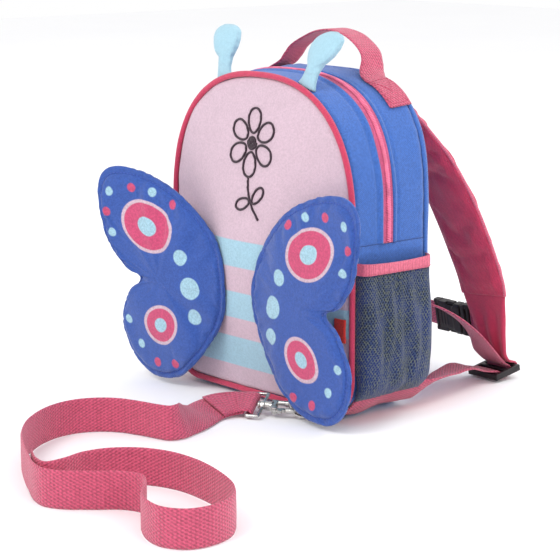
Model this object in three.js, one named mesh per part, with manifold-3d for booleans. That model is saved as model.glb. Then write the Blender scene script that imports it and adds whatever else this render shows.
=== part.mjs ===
// Toddler harness backpack: a small domed day bag with padded butterfly wings, two feelers,
// mesh side pockets, padded shoulder straps, a chest buckle and a webbing rein on a snap hook.
// Millimetres, +Z up. The origin is the middle of the base, on the surface that the bag stands on.
// -Y is the front with the wings, +Y the back with the shoulder straps, +X the right in front view.
import * as THREE from "three";
import { mergeVertices } from "three/addons/utils/BufferGeometryUtils.js";
import Module from "manifold-3d";

const wasm = await Module();
wasm.setup();

// Driving dimensions
const gap = 0.3; // clearance between touching pieces
const depth = 72; // front piping to back seam
const cornerRadius = { front: 28, back: 46 }; // bottom corners in front view
const cornerShare = 0.7; // share of the depth over which the corners round off further
const cornerPlace = 1.5; // middle of a bottom corner, along the outline
const domeStart = 140; // height where the sides start to curve in
const frontHalfWidth = 100.8;
const frontTop = 245;
const frontRoundness = 2.4; // exponent of the dome's curve, 2 is an ellipse
const backHalfWidth = 102.6;
const backTop = 247.6;
const backRoundness = 3.18;
const frontLift = 5; // the front seam's height over the floor
const liftShare = 0.35; // share of the depth over which the base comes down to the floor
const seamHeight = 129.8; // top of the base gusset, where the zip ends
const clothThickness = 2;
const pipingRadius = 2.2;

const panelThickness = 2.6;
const panelBulge = 17.8; // how far the padded front panel stands out at its middle
const panelCentreHeight = 96;
const panelFlatness = 1.36; // exponent of the bulge's profile
const backPanelThickness = 4;
const backPanelCrown = 1.6;

const zipShare = 0.466; // the zip's place, as a share of the depth
const zipTapeWidth = 9.4;
const zipTapeThickness = 1.2;
const zipCoilWidth = 3.6;
const zipCoilHeight = 1.6;
const sliderSize = { along: 11, across: 8, high: 3 };
const pullSize = { long: 12, wide: 6, thick: 1.4 };

const webbingWidth = 25;
const webbingThickness = 1.6;

const handleWidth = 20;
const handleRise = 274.3; // height of the grab handle's crown
const handleLean = 14.6; // how far the crown leans back
const handleShare = 0.86; // the handle's place, as a share of the depth
const handleFoot = [3.487, 3.545, 3.605, 3.665]; // its sewn end, along the outline
// The right half of its free part: place out from the middle as a share of the bag's half width,
// rise and lean as shares of the crown's
const handleArc = [
  { out: 0.474, up: 0.17, back: 0.42 },
  { out: 0.438, up: 0.33, back: 0.64 },
  { out: 0.398, up: 0.52, back: 0.76 },
  { out: 0.327, up: 0.69, back: 0.86 },
  { out: 0.188, up: 0.9, back: 0.96 },
  { out: 0, up: 1, back: 1 },
];

const antennaSpread = 46;
const antennaLean = 17; // how far the tips lean back
const antennaHeight = 38.5;
const antennaSplay = { left: 14.5, right: 9.5 }; // how far the tips lean out
const antennaTilt = 0.38; // slope of its sewn end, along the dome

const wingSpan = 117;
const wingHeight = 165;
const wingGap = 33; // between the two wings' inner edges
const wingClearance = 4.6; // the lowest tips' height over the floor
const wingPadding = 3.7; // half of the thickness in the middle
const wingPlane = 59; // distance of the wings' middle surface from the middle of the bag
const wingFlare = { left: 30, right: 2 }; // how far the outer upper tips turn forward
const wingSeat = 2.5; // from the front panel to the middle of a wing's sewn inner edge
const wingSewn = 0.35; // share of the span over which a wing leaves the panel

const pocketTop = 110;
const pocketBottom = 20;
const pocketStandOff = 8.5; // of the elastic top edge
const pocketBelly = 13;
const pocketSquareness = 14; // exponent of its section, higher is squarer
const meshThickness = 1.1;
const bindingHeight = 9;
const bindingThickness = 1.9;
const gathers = 6;
const gatherDepth = 0.55;

const labelSize = { long: 10, high: 17, thick: 1.2 };
const labelBottom = 61;

// The chest strap runs straight over the outer faces of the strap ends, tilted as they are
const chestHeight = 42.5;
const chestBack = 146.2;
const chestTilt = 12; // degrees from upright
const chestReach = 78; // half of its length
const chestSag = 2.2; // slack of its longer webbing
const chestFree = 0.62; // share of that webbing that hangs free
const chestWebbing = 20;
const chestBuckle = { left: 7, right: 44, high: 27, thick: 8, split: 36 };

const lockWidth = 31;
const lockLength = 27;
const lockBar = 4;
const lockHeight = 5;
const lockTilt = 10; // degrees, rising to the back
const lockCentre = [66.5, 149.5, 6.2];

const eyeCentre = [28.5, -68, 7.6]; // middle of the webbing bar of the snap hook's eye
const hookHeading = 32; // degrees from +X towards +Y
const hookRoll = 20; // degrees, far side up
const eyeInner = 26;
const eyeWire = 1.4; // radius
const hookWire = 1.9; // radius
const ringWire = 1.5; // radius
const tabWidth = 16;
const tabThickness = 1.2;

const flapLength = 28; // of the rein's sewn end over the rein
// The rein's route from the hook's eye to the sewn end of its hand loop: middle of the webbing
// and its lean from upright, in degrees, towards the right of the way it runs.
const leashRoute = [
  { x: 25.4, y: -69.9, z: 7.6, lean: 70 },
  { x: 22.4, y: -72, z: 7.5, lean: 70 },
  { x: 17.5, y: -78.5, z: 7.3, lean: 67 },
  { x: 15, y: -88, z: 6.8, lean: 66 },
  { x: 16.8, y: -99, z: 6.4, lean: 66 },
  { x: 22.3, y: -110, z: 6.6, lean: 64 },
  { x: 30.5, y: -123, z: 8.7, lean: 52 },
  { x: 38.5, y: -136.5, z: 11.3, lean: 32 },
  { x: 45.5, y: -148, z: 12.8, lean: 12 },
  { x: 45, y: -156.5, z: 12.9, lean: 2 },
  { x: 36, y: -160.5, z: 12.9, lean: 0 },
  { x: 21, y: -164.5, z: 12.9, lean: 0 },
  { x: 5, y: -171, z: 12.9, lean: 0 },
  { x: -6, y: -181, z: 12.9, lean: 0 },
  { x: -12, y: -194, z: 12.9, lean: 0 },
  { x: -12.5, y: -209, z: 12.9, lean: 0 },
  { x: -7, y: -226, z: 12.9, lean: 0 },
  { x: 3.5, y: -243, z: 12.9, lean: 0 },
  { x: 18, y: -259, z: 12.9, lean: 0 },
  { x: 36, y: -273, z: 12.9, lean: 0 },
  { x: 58, y: -286, z: 12.9, lean: 0 },
  { x: 82, y: -298, z: 12.9, lean: 0 },
  { x: 99, y: -305.5, z: 12.9, lean: 0 },
  { x: 112, y: -307.5, z: 12.9, lean: 0 },
  { x: 124, y: -302, z: 12.9, lean: 0 },
  { x: 137, y: -288.5, z: 12.9, lean: 0 },
  { x: 151, y: -273.5, z: 12.9, lean: 0 },
  { x: 164, y: -269.5, z: 12.9, lean: 0 },
  { x: 178, y: -278, z: 12.9, lean: 0 },
  { x: 191, y: -290.5, z: 12.9, lean: 0 },
  { x: 205, y: -297.5, z: 12.9, lean: 0 },
  { x: 221, y: -299, z: 12.9, lean: 0 },
  { x: 234, y: -291, z: 12.9, lean: 0 },
  { x: 238.5, y: -275, z: 12.9, lean: 0 },
  { x: 233, y: -256, z: 12.9, lean: 0 },
  { x: 217, y: -240.5, z: 12.9, lean: 0 },
  { x: 192, y: -230, z: 12.9, lean: 0 },
  { x: 163, y: -224, z: 12.9, lean: 0 },
  { x: 138, y: -224.5, z: 12.9, lean: 0 },
  { x: 117, y: -233, z: 12.9, lean: 0 },
  { x: 103, y: -249, z: 12.9, lean: 0 },
  { x: 98.5, y: -268, z: 12.9, lean: 0 },
  { x: 102, y: -286, z: 12.9, lean: 0 },
  { x: 101, y: -298.5, z: 12.9, lean: 0 },
  { x: 90, y: -298, z: 12.9, lean: 0 },
  { x: 72, y: -289.3, z: 12.9, lean: 0 },
];

// The right shoulder strap from the back panel to its webbing end: middle, width and thickness.
// The left one is its mirror image.
const strapSections = [
  { x: 37, y: 0, z: 224, wide: 44, thick: 3.4 },
  { x: 37, y: 4, z: 223.8, wide: 46, thick: 4.4 },
  { x: 40.5, y: 19, z: 214, wide: 50, thick: 8 },
  { x: 45.5, y: 33, z: 198, wide: 50, thick: 7.4 },
  { x: 50.5, y: 47, z: 180, wide: 50, thick: 8 },
  { x: 55.5, y: 62, z: 155, wide: 50, thick: 8 },
  { x: 59.5, y: 75, z: 128, wide: 50, thick: 8 },
  { x: 62, y: 87, z: 101, wide: 49, thick: 8 },
  { x: 64, y: 95, z: 80, wide: 47, thick: 7 },
  { x: 65, y: 97.8, z: 68, wide: 45, thick: 3.6 },
];
// Its webbing end, down to the ladder lock
const strapEndSections = [
  { x: 65, y: 97.9, z: 67.5, wide: 44.5, thick: 3.2 },
  { x: 66.3, y: 101.5, z: 50, wide: 38, thick: 3 },
  { x: 67, y: 105, z: 34, wide: 31, thick: 2.8 },
  { x: 67, y: 110, z: 21, wide: 24, thick: 2.4 },
];

// Outline of a wing, seen flat, as shares of its span and height from its inner lower corner
const wingOutline = [
  { name: "inner edge", out: 0.0, up: 0.46 },
  { name: "inner rise", out: 0.075, up: 0.69 },
  { name: "shoulder", out: 0.33, up: 0.885 },
  { name: "upper edge", out: 0.64, up: 0.985 },
  { name: "upper tip", out: 0.9, up: 0.995 },
  { name: "outer tip", out: 1.0, up: 0.9 },
  { name: "outer edge", out: 0.965, up: 0.68 },
  { name: "over the waist", out: 0.83, up: 0.535 },
  { name: "waist", out: 0.7, up: 0.483 },
  { name: "under the waist", out: 0.825, up: 0.395 },
  { name: "lower outer edge", out: 0.925, up: 0.235 },
  { name: "lower outer tip", out: 0.87, up: 0.075 },
  { name: "lowest point", out: 0.69, up: 0.0 },
  { name: "lower inner edge", out: 0.4, up: 0.045 },
  { name: "inner fall", out: 0.115, up: 0.245 },
];
// Half thickness of a wing from its rim to its middle, with the dent of the edge stitching
const wingProfile = [
  { share: 1.0, half: 0.36 },
  { share: 0.975, half: 0.58 },
  { share: 0.93, half: 0.47 },
  { share: 0.84, half: 0.84 },
  { share: 0.48, half: 0.98 },
];

// Sections of a feeler: share of its height, half width and half thickness
const antennaSections = [
  { up: 0.0, wide: 8.8, thick: 2.4 },
  { up: 0.2, wide: 6.9, thick: 3.0 },
  { up: 0.38, wide: 7.6, thick: 3.9 },
  { up: 0.52, wide: 11.4, thick: 5.4 },
  { up: 0.68, wide: 14.2, thick: 6.4 },
  { up: 0.83, wide: 14.0, thick: 6.2 },
  { up: 0.94, wide: 10.4, thick: 4.8 },
  { up: 0.99, wide: 4.6, thick: 2.6 },
];

const colours = {
  blue: 0x3f6bc4,
  wingBlue: 0x3a5fb8,
  pink: 0xd9527f,
  coral: 0xef7590,
  palePink: 0xe8c8de,
  lightBlue: 0xaed8ea,
  mesh: 0x46556a,
  plastic: 0x231f22,
  metal: 0xc4c6c9,
  black: 0x1c1a1d,
  red: 0xd43f34,
};

// General helpers
const V = (x, y, z) => new THREE.Vector3(x, y, z);
const mix = THREE.MathUtils.lerp;
const rad = THREE.MathUtils.degToRad;
const steps = (count) => Array.from({ length: count + 1 }, (_, i) => i / count);

// A closed surface from triangles, with its faces turned outwards.
function closedSurface(triangles) {
  const kept = triangles.filter(
    ([a, b, c]) => a.distanceTo(b) > 1e-4 && b.distanceTo(c) > 1e-4 && c.distanceTo(a) > 1e-4,
  );
  const volume = kept.reduce((sum, [a, b, c]) => sum + a.dot(b.clone().cross(c)), 0);
  const turned = volume < 0 ? kept.map(([a, b, c]) => [a, c, b]) : kept;
  const geometry = new THREE.BufferGeometry().setFromPoints(turned.flat());
  geometry.computeVertexNormals();
  return geometry;
}

function quads(grid, flip, wrap) {
  const out = [];
  const rows = wrap ? grid.length : grid.length - 1;
  for (let i = 0; i < rows; i++) {
    const here = grid[i];
    const next = grid[(i + 1) % grid.length];
    for (let j = 0; j + 1 < here.length; j++) {
      const [a, b, c, d] = [here[j], next[j], next[j + 1], here[j + 1]];
      out.push(...(flip ? [[a, c, b], [a, d, c]] : [[a, b, c], [a, c, d]]));
    }
  }
  return out;
}

// A wall between two surfaces given as grids of points. A wrapped grid closes on its first row.
function wall(outer, inner, wrap = false) {
  const rim = (pick) => [outer, inner].map((grid) => pick(grid));
  const faces = [...quads(outer, false, wrap), ...quads(inner, true, wrap)];
  const [firstOut, firstIn] = rim((grid) => grid.map((row) => row[0]));
  const [lastOut, lastIn] = rim((grid) => grid.map((row) => row[row.length - 1]));
  faces.push(...quads(firstOut.map((p, i) => [p, firstIn[i]]), true, wrap));
  faces.push(...quads(lastOut.map((p, i) => [p, lastIn[i]]), false, wrap));
  if (!wrap) {
    faces.push(...quads([outer[0], inner[0]], true, false));
    faces.push(...quads([outer.at(-1), inner.at(-1)], false, false));
  }
  return closedSurface(faces);
}

// A solid through a row of rings, closed on itself or capped at both ends.
function loft(rings, closed = false) {
  const grid = rings.map((ring) => [...ring, ring[0]]);
  const faces = quads(grid, false, closed);
  if (!closed) {
    for (const [ring, flip] of [[rings[0], true], [rings.at(-1), false]]) {
      const middle = ring.reduce((sum, p) => sum.add(p), V(0, 0, 0)).divideScalar(ring.length);
      ring.forEach((p, i) => {
        const q = ring[(i + 1) % ring.length];
        faces.push(flip ? [middle, p, q] : [middle, q, p]);
      });
    }
  }
  return closedSurface(faces);
}

const flatSection = [[-0.5, -0.5], [0.5, -0.5], [0.5, 0.5], [-0.5, 0.5]];
const cupped = [-0.5, -0.17, 0.17, 0.5];
const cuppedSection = [
  ...cupped.map((a) => [a, -0.5]),
  ...cupped.slice().reverse().map((a) => [a, 0.5]),
];
const softSection = steps(9).map((share) => {
  const angle = share * 0.9 * 2 * Math.PI;
  const round = (value, power) => (Math.sign(value) * Math.abs(value) ** power) / 2;
  return [round(Math.cos(angle), 0.55), round(Math.sin(angle), 0.75)];
});

// Where a strap runs: a smooth curve through stations, each with its middle, the way its width
// lies, width, thickness and the radius that it's cupped to.
function strapCourse(stations) {
  const curve = new THREE.CatmullRomCurve3(stations.map((s) => s.at), false, "centripetal");
  return (share) => {
    const place = share * (stations.length - 1);
    const i = Math.min(Math.floor(place), stations.length - 2);
    const [from, to, part] = [stations[i], stations[i + 1], place - i];
    const tangent = curve.getTangent(share);
    const across = from.across.clone().lerp(to.across, part);
    across.addScaledVector(tangent, -across.dot(tangent)).normalize();
    const blend = (name) => mix(from[name] ?? 0, to[name] ?? 0, part);
    return {
      at: curve.getPoint(share),
      across,
      normal: tangent.clone().cross(across),
      wide: blend("wide"),
      thick: blend("thick"),
      cup: blend("cup"),
    };
  };
}

function strap(stations, section, perStep) {
  const course = strapCourse(stations);
  const rings = steps((stations.length - 1) * perStep).map((share) => {
    const { at, across, normal, wide, thick, cup } = course(share);
    return section.map(([a, b]) => {
      const sag = cup * (2 * a) ** 2;
      return at.clone().addScaledVector(across, a * wide).addScaledVector(normal, b * thick - sag);
    });
  });
  return loft(rings);
}

const mirrored = (geometry) => {
  const copy = geometry.clone().scale(-1, 1, 1);
  const p = copy.getAttribute("position");
  for (let i = 0; i < p.count; i += 3) {
    const [b, c] = [1, 2].map((k) => new THREE.Vector3().fromBufferAttribute(p, i + k));
    p.setXYZ(i + 1, c.x, c.y, c.z);
    p.setXYZ(i + 2, b.x, b.y, b.z);
  }
  copy.computeVertexNormals();
  return copy;
};

function solid(geometry) {
  const bare = geometry.clone();
  for (const name of Object.keys(bare.attributes)) {
    if (name !== "position") bare.deleteAttribute(name);
  }
  const merged = mergeVertices(bare, 1e-4);
  const vertProperties = new Float32Array(merged.getAttribute("position").array);
  const triVerts = new Uint32Array(merged.index.array);
  return new wasm.Manifold(new wasm.Mesh({ numProp: 3, vertProperties, triVerts }));
}

function fromSolid(body) {
  const mesh = body.getMesh();
  const geometry = new THREE.BufferGeometry();
  geometry.setAttribute("position", new THREE.BufferAttribute(mesh.vertProperties, 3));
  geometry.setIndex(new THREE.BufferAttribute(mesh.triVerts, 1));
  const loose = geometry.toNonIndexed();
  loose.computeVertexNormals();
  return loose;
}

const join = (parts) => fromSolid(parts.map(solid).reduce((a, b) => a.add(b)));
const box = (x, y, z, at) => new THREE.BoxGeometry(x, y, z).translate(...at);

// A round bar or disc between two points
function bar(from, to, radius, sides = 10) {
  const direction = to.clone().sub(from);
  const length = direction.length();
  const geometry = new THREE.CylinderGeometry(radius, radius, length, sides);
  const turn = new THREE.Quaternion().setFromUnitVectors(V(0, 1, 0), direction.normalize());
  return geometry.applyQuaternion(turn).translate(...from.clone().add(to).divideScalar(2));
}

// A wire of round section along a path of points, its ends capped or joined
function wire(points, radius, sides, closed = false) {
  const curve = new THREE.CatmullRomCurve3(points, closed, "centripetal");
  const count = Math.round(points.length * 1.5);
  const frames = curve.computeFrenetFrames(count, closed);
  const rings = steps(count).map((share, i) => {
    const centre = curve.getPointAt(share);
    return steps(sides - 1).map((turn) => {
      const angle = turn * ((sides - 1) / sides) * 2 * Math.PI;
      return centre.clone()
        .addScaledVector(frames.normals[i], radius * Math.cos(angle))
        .addScaledVector(frames.binormals[i], radius * Math.sin(angle));
    });
  });
  return loft(closed ? rings.slice(0, -1) : rings, closed);
}

// The bag's outline at a share t of its depth. Its right half runs from the middle of the base
// (s = 0) over the corner (1 to 2) and the side (2 to 3) to the crown (4).
const smoothstep = (t) => THREE.MathUtils.smoothstep(t, 0, 1);
const baseHeight = (t) => frontLift * (1 - smoothstep(t / liftShare));
const cornerAt = (t) => mix(cornerRadius.front, cornerRadius.back, smoothstep(t / cornerShare));

function halfOutline(t, s) {
  const halfWidth = mix(frontHalfWidth, backHalfWidth, t);
  const top = mix(frontTop, backTop, t);
  const power = 2 / mix(frontRoundness, backRoundness, t);
  const base = baseHeight(t);
  const corner = cornerAt(t);
  if (s < 1) return [(halfWidth - corner) * s, base];
  if (s < 2) {
    const angle = ((s - 1) * Math.PI) / 2;
    return [halfWidth - corner * (1 - Math.sin(angle)), base + corner * (1 - Math.cos(angle))];
  }
  if (s < 3) return [halfWidth, mix(base + corner, domeStart, s - 2)];
  const angle = ((1 - Math.cos(Math.PI * (s - 3))) / 2) * (Math.PI / 2);
  const cos = Math.max(Math.cos(angle), 0);
  return [halfWidth * cos ** power, domeStart + (top - domeStart) * Math.sin(angle) ** power];
}

// A point on or over the bag's side wall, off along the outward normal of the outline
function onBag(t, side, s, off = 0) {
  const [x, z] = halfOutline(t, s);
  const [x0, z0] = halfOutline(t, Math.max(s - 0.01, 0));
  const [x1, z1] = halfOutline(t, Math.min(s + 0.01, 4));
  const normal = s >= 4 ? V(0, 0, 1) : V(z1 - z0, 0, x0 - x1).normalize();
  return V(side * (x + normal.x * off), (t - 0.5) * depth, z + normal.z * off);
}

// The place on the outline that has a given height, on the corner or the side above it
const sideShare = (t, height) => {
  const corner = cornerAt(t);
  const foot = baseHeight(t) + corner;
  if (height > foot) return 2 + (height - foot) / (domeStart - foot);
  return 1 + Math.acos((foot - height) / corner) / (Math.PI / 2);
};

const arch = [
  ...steps(16).map((p) => [1, p]),
  ...steps(16).reverse().slice(1).map((p) => [-1, p]),
];
const archPoint = (t, side, p, off) =>
  onBag(t, side, mix(sideShare(t, seamHeight + gap / 2), 4, p), off);

function archWall(t0, t1, rows, off, thickness) {
  const grid = (level) =>
    arch.map(([side, p]) => steps(rows).map((v) => archPoint(mix(t0, t1, v), side, p, level)));
  return wall(grid(off), grid(off - thickness));
}

const depthShare = (length) => length / depth;
const edgeSeat = depthShare(pipingRadius + gap);
const tapeHalf = depthShare(zipTapeWidth / 2);
const clear = depthShare(gap);

const frontGusset = () =>
  archWall(edgeSeat, zipShare - tapeHalf - clear, 2, 0, clothThickness);
const zipTape = () =>
  archWall(zipShare - tapeHalf, zipShare + tapeHalf, 1, 0, zipTapeThickness);
const zipCoil = () => {
  const half = depthShare(zipCoilWidth / 2);
  return archWall(zipShare - half, zipShare + half, 1, gap + zipCoilHeight, zipCoilHeight);
};
const backGusset = () =>
  archWall(zipShare + tapeHalf + clear, 1 - edgeSeat, 2, 0, clothThickness);

// Sides below the zip and the base, one strip of cloth
function baseGusset() {
  const half = [1, 0.66, 0.33].map((p) => ({ p }));
  half.push(...[2, 1.8, 1.6, 1.4, 1.2, 1, 0.5].map((s) => ({ s })));
  const strip = [
    ...half.map((row) => ({ ...row, side: 1 })),
    { s: 0, side: 1 },
    ...half.slice().reverse().map((row) => ({ ...row, side: -1 })),
  ];
  const place = (t, row) =>
    row.s ?? mix(2, sideShare(t, seamHeight - gap / 2), row.p);
  const shares = [edgeSeat, 0.13, 0.24, liftShare, 0.55, 0.78, 1 - edgeSeat];
  const grid = (off) =>
    strip.map((row) => shares.map((t) => onBag(t, row.side, place(t, row), off)));
  return wall(grid(0), grid(-clothThickness));
}

// The whole outline of the front or back, as a closed row of points
function outlineRow(t, off) {
  const half = [
    ...[0, 0.5, 1, 1.25, 1.5, 1.75, 2, 2.33, 2.67, 3],
    ...steps(14).slice(1).map((p) => 3 + p),
  ];
  return [
    ...half.map((s) => onBag(t, 1, s, off)),
    ...half.slice(1, -1).reverse().map((s) => onBag(t, -1, s, off)),
  ];
}

// How far the front panel stands out at a place given as a share from its middle to its rim
const bulgeAt = (share) => panelBulge * Math.max(1 - share ** 2, 0) ** panelFlatness;
const panelFace = -depth / 2 - panelThickness / 2;

function panel(row, middle, shares, front, back) {
  const grid = (y) =>
    row.map((rim) =>
      shares.map((share) => {
        const p = middle.clone().lerp(rim, share);
        return V(p.x, y(share), p.z);
      }),
    );
  return wall(grid(front), grid(back), true);
}

const panelMiddle = V(0, 0, panelCentreHeight);
const frontPanel = () => {
  const face = (share) => panelFace - bulgeAt(share);
  return panel(outlineRow(0, -pipingRadius - gap), panelMiddle, [1, 0.93, 0.82, 0.66, 0.44, 0.2, 0],
    face, (share) => face(share) + panelThickness);
};

const backFace = depth / 2 + backPanelThickness / 2;
const backPanel = () =>
  panel(outlineRow(1, -0.5), V(0, 0, domeStart - 25), [1, 0.9, 0.6, 0], (share) =>
    backFace + backPanelCrown * (1 - share ** 8), () => backFace - backPanelThickness);
const backSkin = backFace + backPanelCrown;

// The front panel's outer surface at a place in front view
function panelAt(x, z) {
  const direction = V(x, 0, z - panelCentreHeight);
  const reach = direction.length();
  if (reach < 1e-6) return panelFace - panelBulge;
  const row = outlineRow(0, -pipingRadius - gap);
  const angleOf = (p) => Math.atan2(p.z - panelCentreHeight, p.x);
  const angle = angleOf(V(x, 0, z));
  const near = row.reduce((best, p) => {
    const turn = Math.abs(Math.atan2(Math.sin(angleOf(p) - angle), Math.cos(angleOf(p) - angle)));
    return turn < best.turn ? { turn, p } : best;
  }, { turn: Infinity, p: row[0] });
  const rim = Math.hypot(near.p.x, near.p.z - panelCentreHeight);
  return panelFace - bulgeAt(Math.min(reach / rim, 1));
}

// The round edge trim in the front seam
function frontPiping() {
  const centres = outlineRow(0, 0);
  const outward = outlineRow(0, 1);
  const sides = 5;
  return loft(
    centres.map((centre, i) => {
      const normal = outward[i].clone().sub(centre);
      return steps(sides - 1).map((turn) => {
        const angle = turn * ((sides - 1) / sides) * 2 * Math.PI;
        return centre.clone()
          .addScaledVector(normal, pipingRadius * Math.cos(angle))
          .addScaledVector(V(0, 1, 0), pipingRadius * Math.sin(angle));
      });
    }),
    true,
  );
}

// The zip's slider and pull, one plain piece at the left end of the zip
function zipSlider() {
  const base = archPoint(zipShare, -1, 0, 2 * gap + zipCoilHeight);
  const { along: long, across, high } = sliderSize;
  const middle = base.z + long / 2 + gap;
  const body = box(high, across, long, [base.x - high / 2, base.y, middle]);
  const pullX = base.x - high - pullSize.thick / 2 + 0.4;
  const pull = box(pullSize.thick, pullSize.wide, pullSize.long,
    [pullX, base.y, middle - pullSize.long / 2 + 2]);
  return join([body, pull]);
}

// The webbing grab handle: its ends lie flat on the back gusset
function grabHandle() {
  const off = 2 * gap + webbingThickness / 2;
  const halfBand = depthShare(handleWidth / 2);
  const sewn = handleFoot.map((s) => {
    const [fore, aft] = [-1, 1].map((side) => onBag(handleShare + side * halfBand, 1, s, off));
    return { at: fore.clone().lerp(aft, 0.5), across: aft.sub(fore).normalize() };
  });
  const foot = sewn.at(-1).at;
  const free = handleArc.map(({ out, up, back }) => ({
    at: V(out * frontHalfWidth, foot.y + handleLean * back, mix(foot.z, handleRise, up)),
    across: V(0, 1, 0),
  }));
  const half = [...sewn, ...free];
  const other = half.slice(0, -1).reverse().map((station) => ({
    at: station.at.clone().setX(-station.at.x),
    across: station.across.clone().setX(-station.across.x),
  }));
  const stations = [...half, ...other].map((station) => ({
    ...station, wide: handleWidth, thick: webbingThickness,
  }));
  return strap(stations, flatSection, 2);
}

// A padded feeler, sewn into the seam behind the piping
function antenna(splay) {
  const foot = (() => {
    const row = steps(200).map((p) => onBag(edgeSeat, 1, 3 + p));
    return row.reduce((a, b) =>
      Math.abs(b.x - antennaSpread) < Math.abs(a.x - antennaSpread) ? b : a);
  })();
  const start = pipingRadius + gap + antennaSections[0].thick - depth / 2;
  const rings = antennaSections.map(({ up, wide, thick }) => {
    const lean = up ** 1.3;
    const centre = V(
      foot.x + splay * up,
      start + gap + antennaLean * lean,
      foot.z + 3 * gap + antennaHeight * up,
    );
    return steps(11).map((turn) => {
      const angle = turn * (11 / 12) * 2 * Math.PI;
      const tilt = antennaTilt * (1 - up) ** 8;
      return centre.clone().add(
        V(wide * Math.cos(angle), thick * Math.sin(angle), -wide * Math.cos(angle) * tilt));
    });
  });
  return loft(rings);
}

// A padded wing, built for the right side: flat in the middle of its thickness, with its
// inner edge following the front panel and its outer upper tip turned forward by the flare.
function wingSurface(out, up, flare) {
  const turn = flare * out ** 1.3 * (1 - (1 - up) ** 2);
  const u = out * wingSpan;
  const x = wingGap / 2 + Math.sqrt(Math.max(u ** 2 - turn ** 2, 0));
  const z = wingClearance + up * wingHeight;
  const held = panelAt(x, z) - gap - wingSeat;
  const free = -wingPlane - turn;
  return V(x, mix(Math.min(held, free + 4), free, smoothstep(out / wingSewn)), z);
}

function wing(flare) {
  const curve = new THREE.CatmullRomCurve3(
    wingOutline.map(({ out, up }) => V(out, up, 0)), true, "catmullrom", 0.5);
  const rim = steps(42).slice(0, -1).map((share) => curve.getPoint(share));
  const heart = V(0.5, 0.49, 0);
  const face = (sign) =>
    rim.map((p) => {
      const row = wingProfile.map(({ share, half }) => {
        const q = heart.clone().lerp(p, share);
        const at = wingSurface(Math.max(q.x, 0), q.y, flare);
        return at.setY(at.y + sign * half * wingPadding);
      });
      const middle = wingSurface(heart.x, heart.y, flare);
      return [...row, middle.setY(middle.y + sign * wingPadding)];
    });
  return wall(face(-1), face(1), true);
}

// A mesh pocket on the side wall, gathered, open at the top
const pocketShares = [0.03, 0.042, 0.07, 0.16, 0.29, 0.42, 0.55, 0.68, 0.81, 0.92, 0.955, 0.97];
function pocketOff(t, up) {
  const [first, last] = [pocketShares[0], pocketShares.at(-1)];
  const ends = 1 - Math.abs((2 * (t - first)) / (last - first) - 1) ** pocketSquareness;
  const body = mix(pocketBelly, pocketStandOff, smoothstep((up - 0.55) / 0.45));
  const foot = 1 - (1 - Math.min(up / 0.45, 1)) ** 3;
  const fold = gatherDepth * Math.cos(t * gathers * 2 * Math.PI) * Math.sin(Math.PI * up);
  const seat = (webbingThickness + 5 * gap) * (1 - smoothstep((up - 0.12) / 0.14));
  return gap + seat + (body * foot + fold) * Math.max(ends, 0) ** 0.7;
}

function pocketPoint(t, up, height, extra) {
  return onBag(t, 1, sideShare(t, height), pocketOff(t, up) + extra);
}

function sidePocket() {
  const rows = [0, 0.1, 0.22, 0.38, 0.58, 0.8, 1];
  const grid = (extra) =>
    pocketShares.map((t) =>
      rows.map((up) => pocketPoint(t, up, mix(pocketBottom, pocketTop - gap, up), extra)),
    );
  return wall(grid(meshThickness), grid(0));
}

function pocketBinding() {
  const rows = [0, 0.5, 1];
  const dip = (t) => -1.5 * Math.sin(Math.PI * t);
  const grid = (extra) =>
    pocketShares.map((t) =>
      rows.map((v) => pocketPoint(t, 1, pocketTop + v * bindingHeight + dip(t) * v, extra)),
    );
  return wall(grid((bindingThickness + meshThickness) / 2), grid(0));
}

// A small folded tab on the edge of the front panel, left blank
function labelTab() {
  const x1 = frontHalfWidth - pipingRadius - 1.2;
  const x0 = x1 - labelSize.long;
  const columns = steps(2).map((p) => mix(x0, x1, p));
  const levels = steps(2).map((p) => labelBottom + p * labelSize.high);
  const lowest = Math.min(...columns.flatMap((x) => levels.map((z) => panelAt(x, z))));
  const face = (thick) => columns.map((x) => levels.map((z) =>
    V(x, mix(panelAt(x, z), lowest, 0.5) - 2 * gap - thick, z)));
  return wall(face(labelSize.thick), face(0));
}

// Shoulder straps
const strapStations = (sections) =>
  sections.map(({ x, y, z, wide, thick }) => ({
    at: V(x, backSkin + gap + y, z), across: V(1, 0, 0), wide, thick,
  }));
const shoulderStrap = () => strap(strapStations(strapSections), softSection, 2);

// The ladder lock lies on the floor: its own frame has u along the strap, w up
const lockTurn = new THREE.Matrix4()
  .makeRotationX(rad(lockTilt))
  .setPosition(...lockCentre);
const inLock = (u, w, x = 0) => V(x, u, w).applyMatrix4(lockTurn);

function ladderLock() {
  const half = lockLength / 2;
  const side = (lockWidth - lockBar * 0.7) / 2;
  const parts = [-1, 1].map((s) =>
    box(lockBar * 0.7, lockLength, lockHeight, [s * side, 0, 0]));
  parts.push(box(lockWidth, lockBar, lockHeight, [0, -half + lockBar / 2, 0]));
  parts.push(box(lockWidth, lockBar, lockHeight * 0.5, [0, 1, lockHeight * 0.25]));
  parts.push(box(lockWidth, lockBar, lockHeight, [0, half - lockBar / 2, 0]));
  return join(parts).applyMatrix4(lockTurn);
}

// The strap's webbing end runs over the lock's rear bar and turns back under it
function strapEnd() {
  const bar = lockLength / 2 - lockBar / 2;
  const thick = webbingThickness;
  const r = lockHeight / 2 + 2 * gap + thick / 2;
  const loop = [
    inLock(bar - 3.4, r + 2.2),
    inLock(bar + 0.4, r + 0.3),
    inLock(bar + r * 0.72, r * 0.78),
    inLock(bar + r, 0),
    inLock(bar + r * 0.8, -r * 0.78),
  ].map((at) => ({ at, across: V(1, 0, 0), wide: 22, thick }));
  return strap([...strapStations(strapEndSections), ...loop], flatSection, 2);
}

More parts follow.
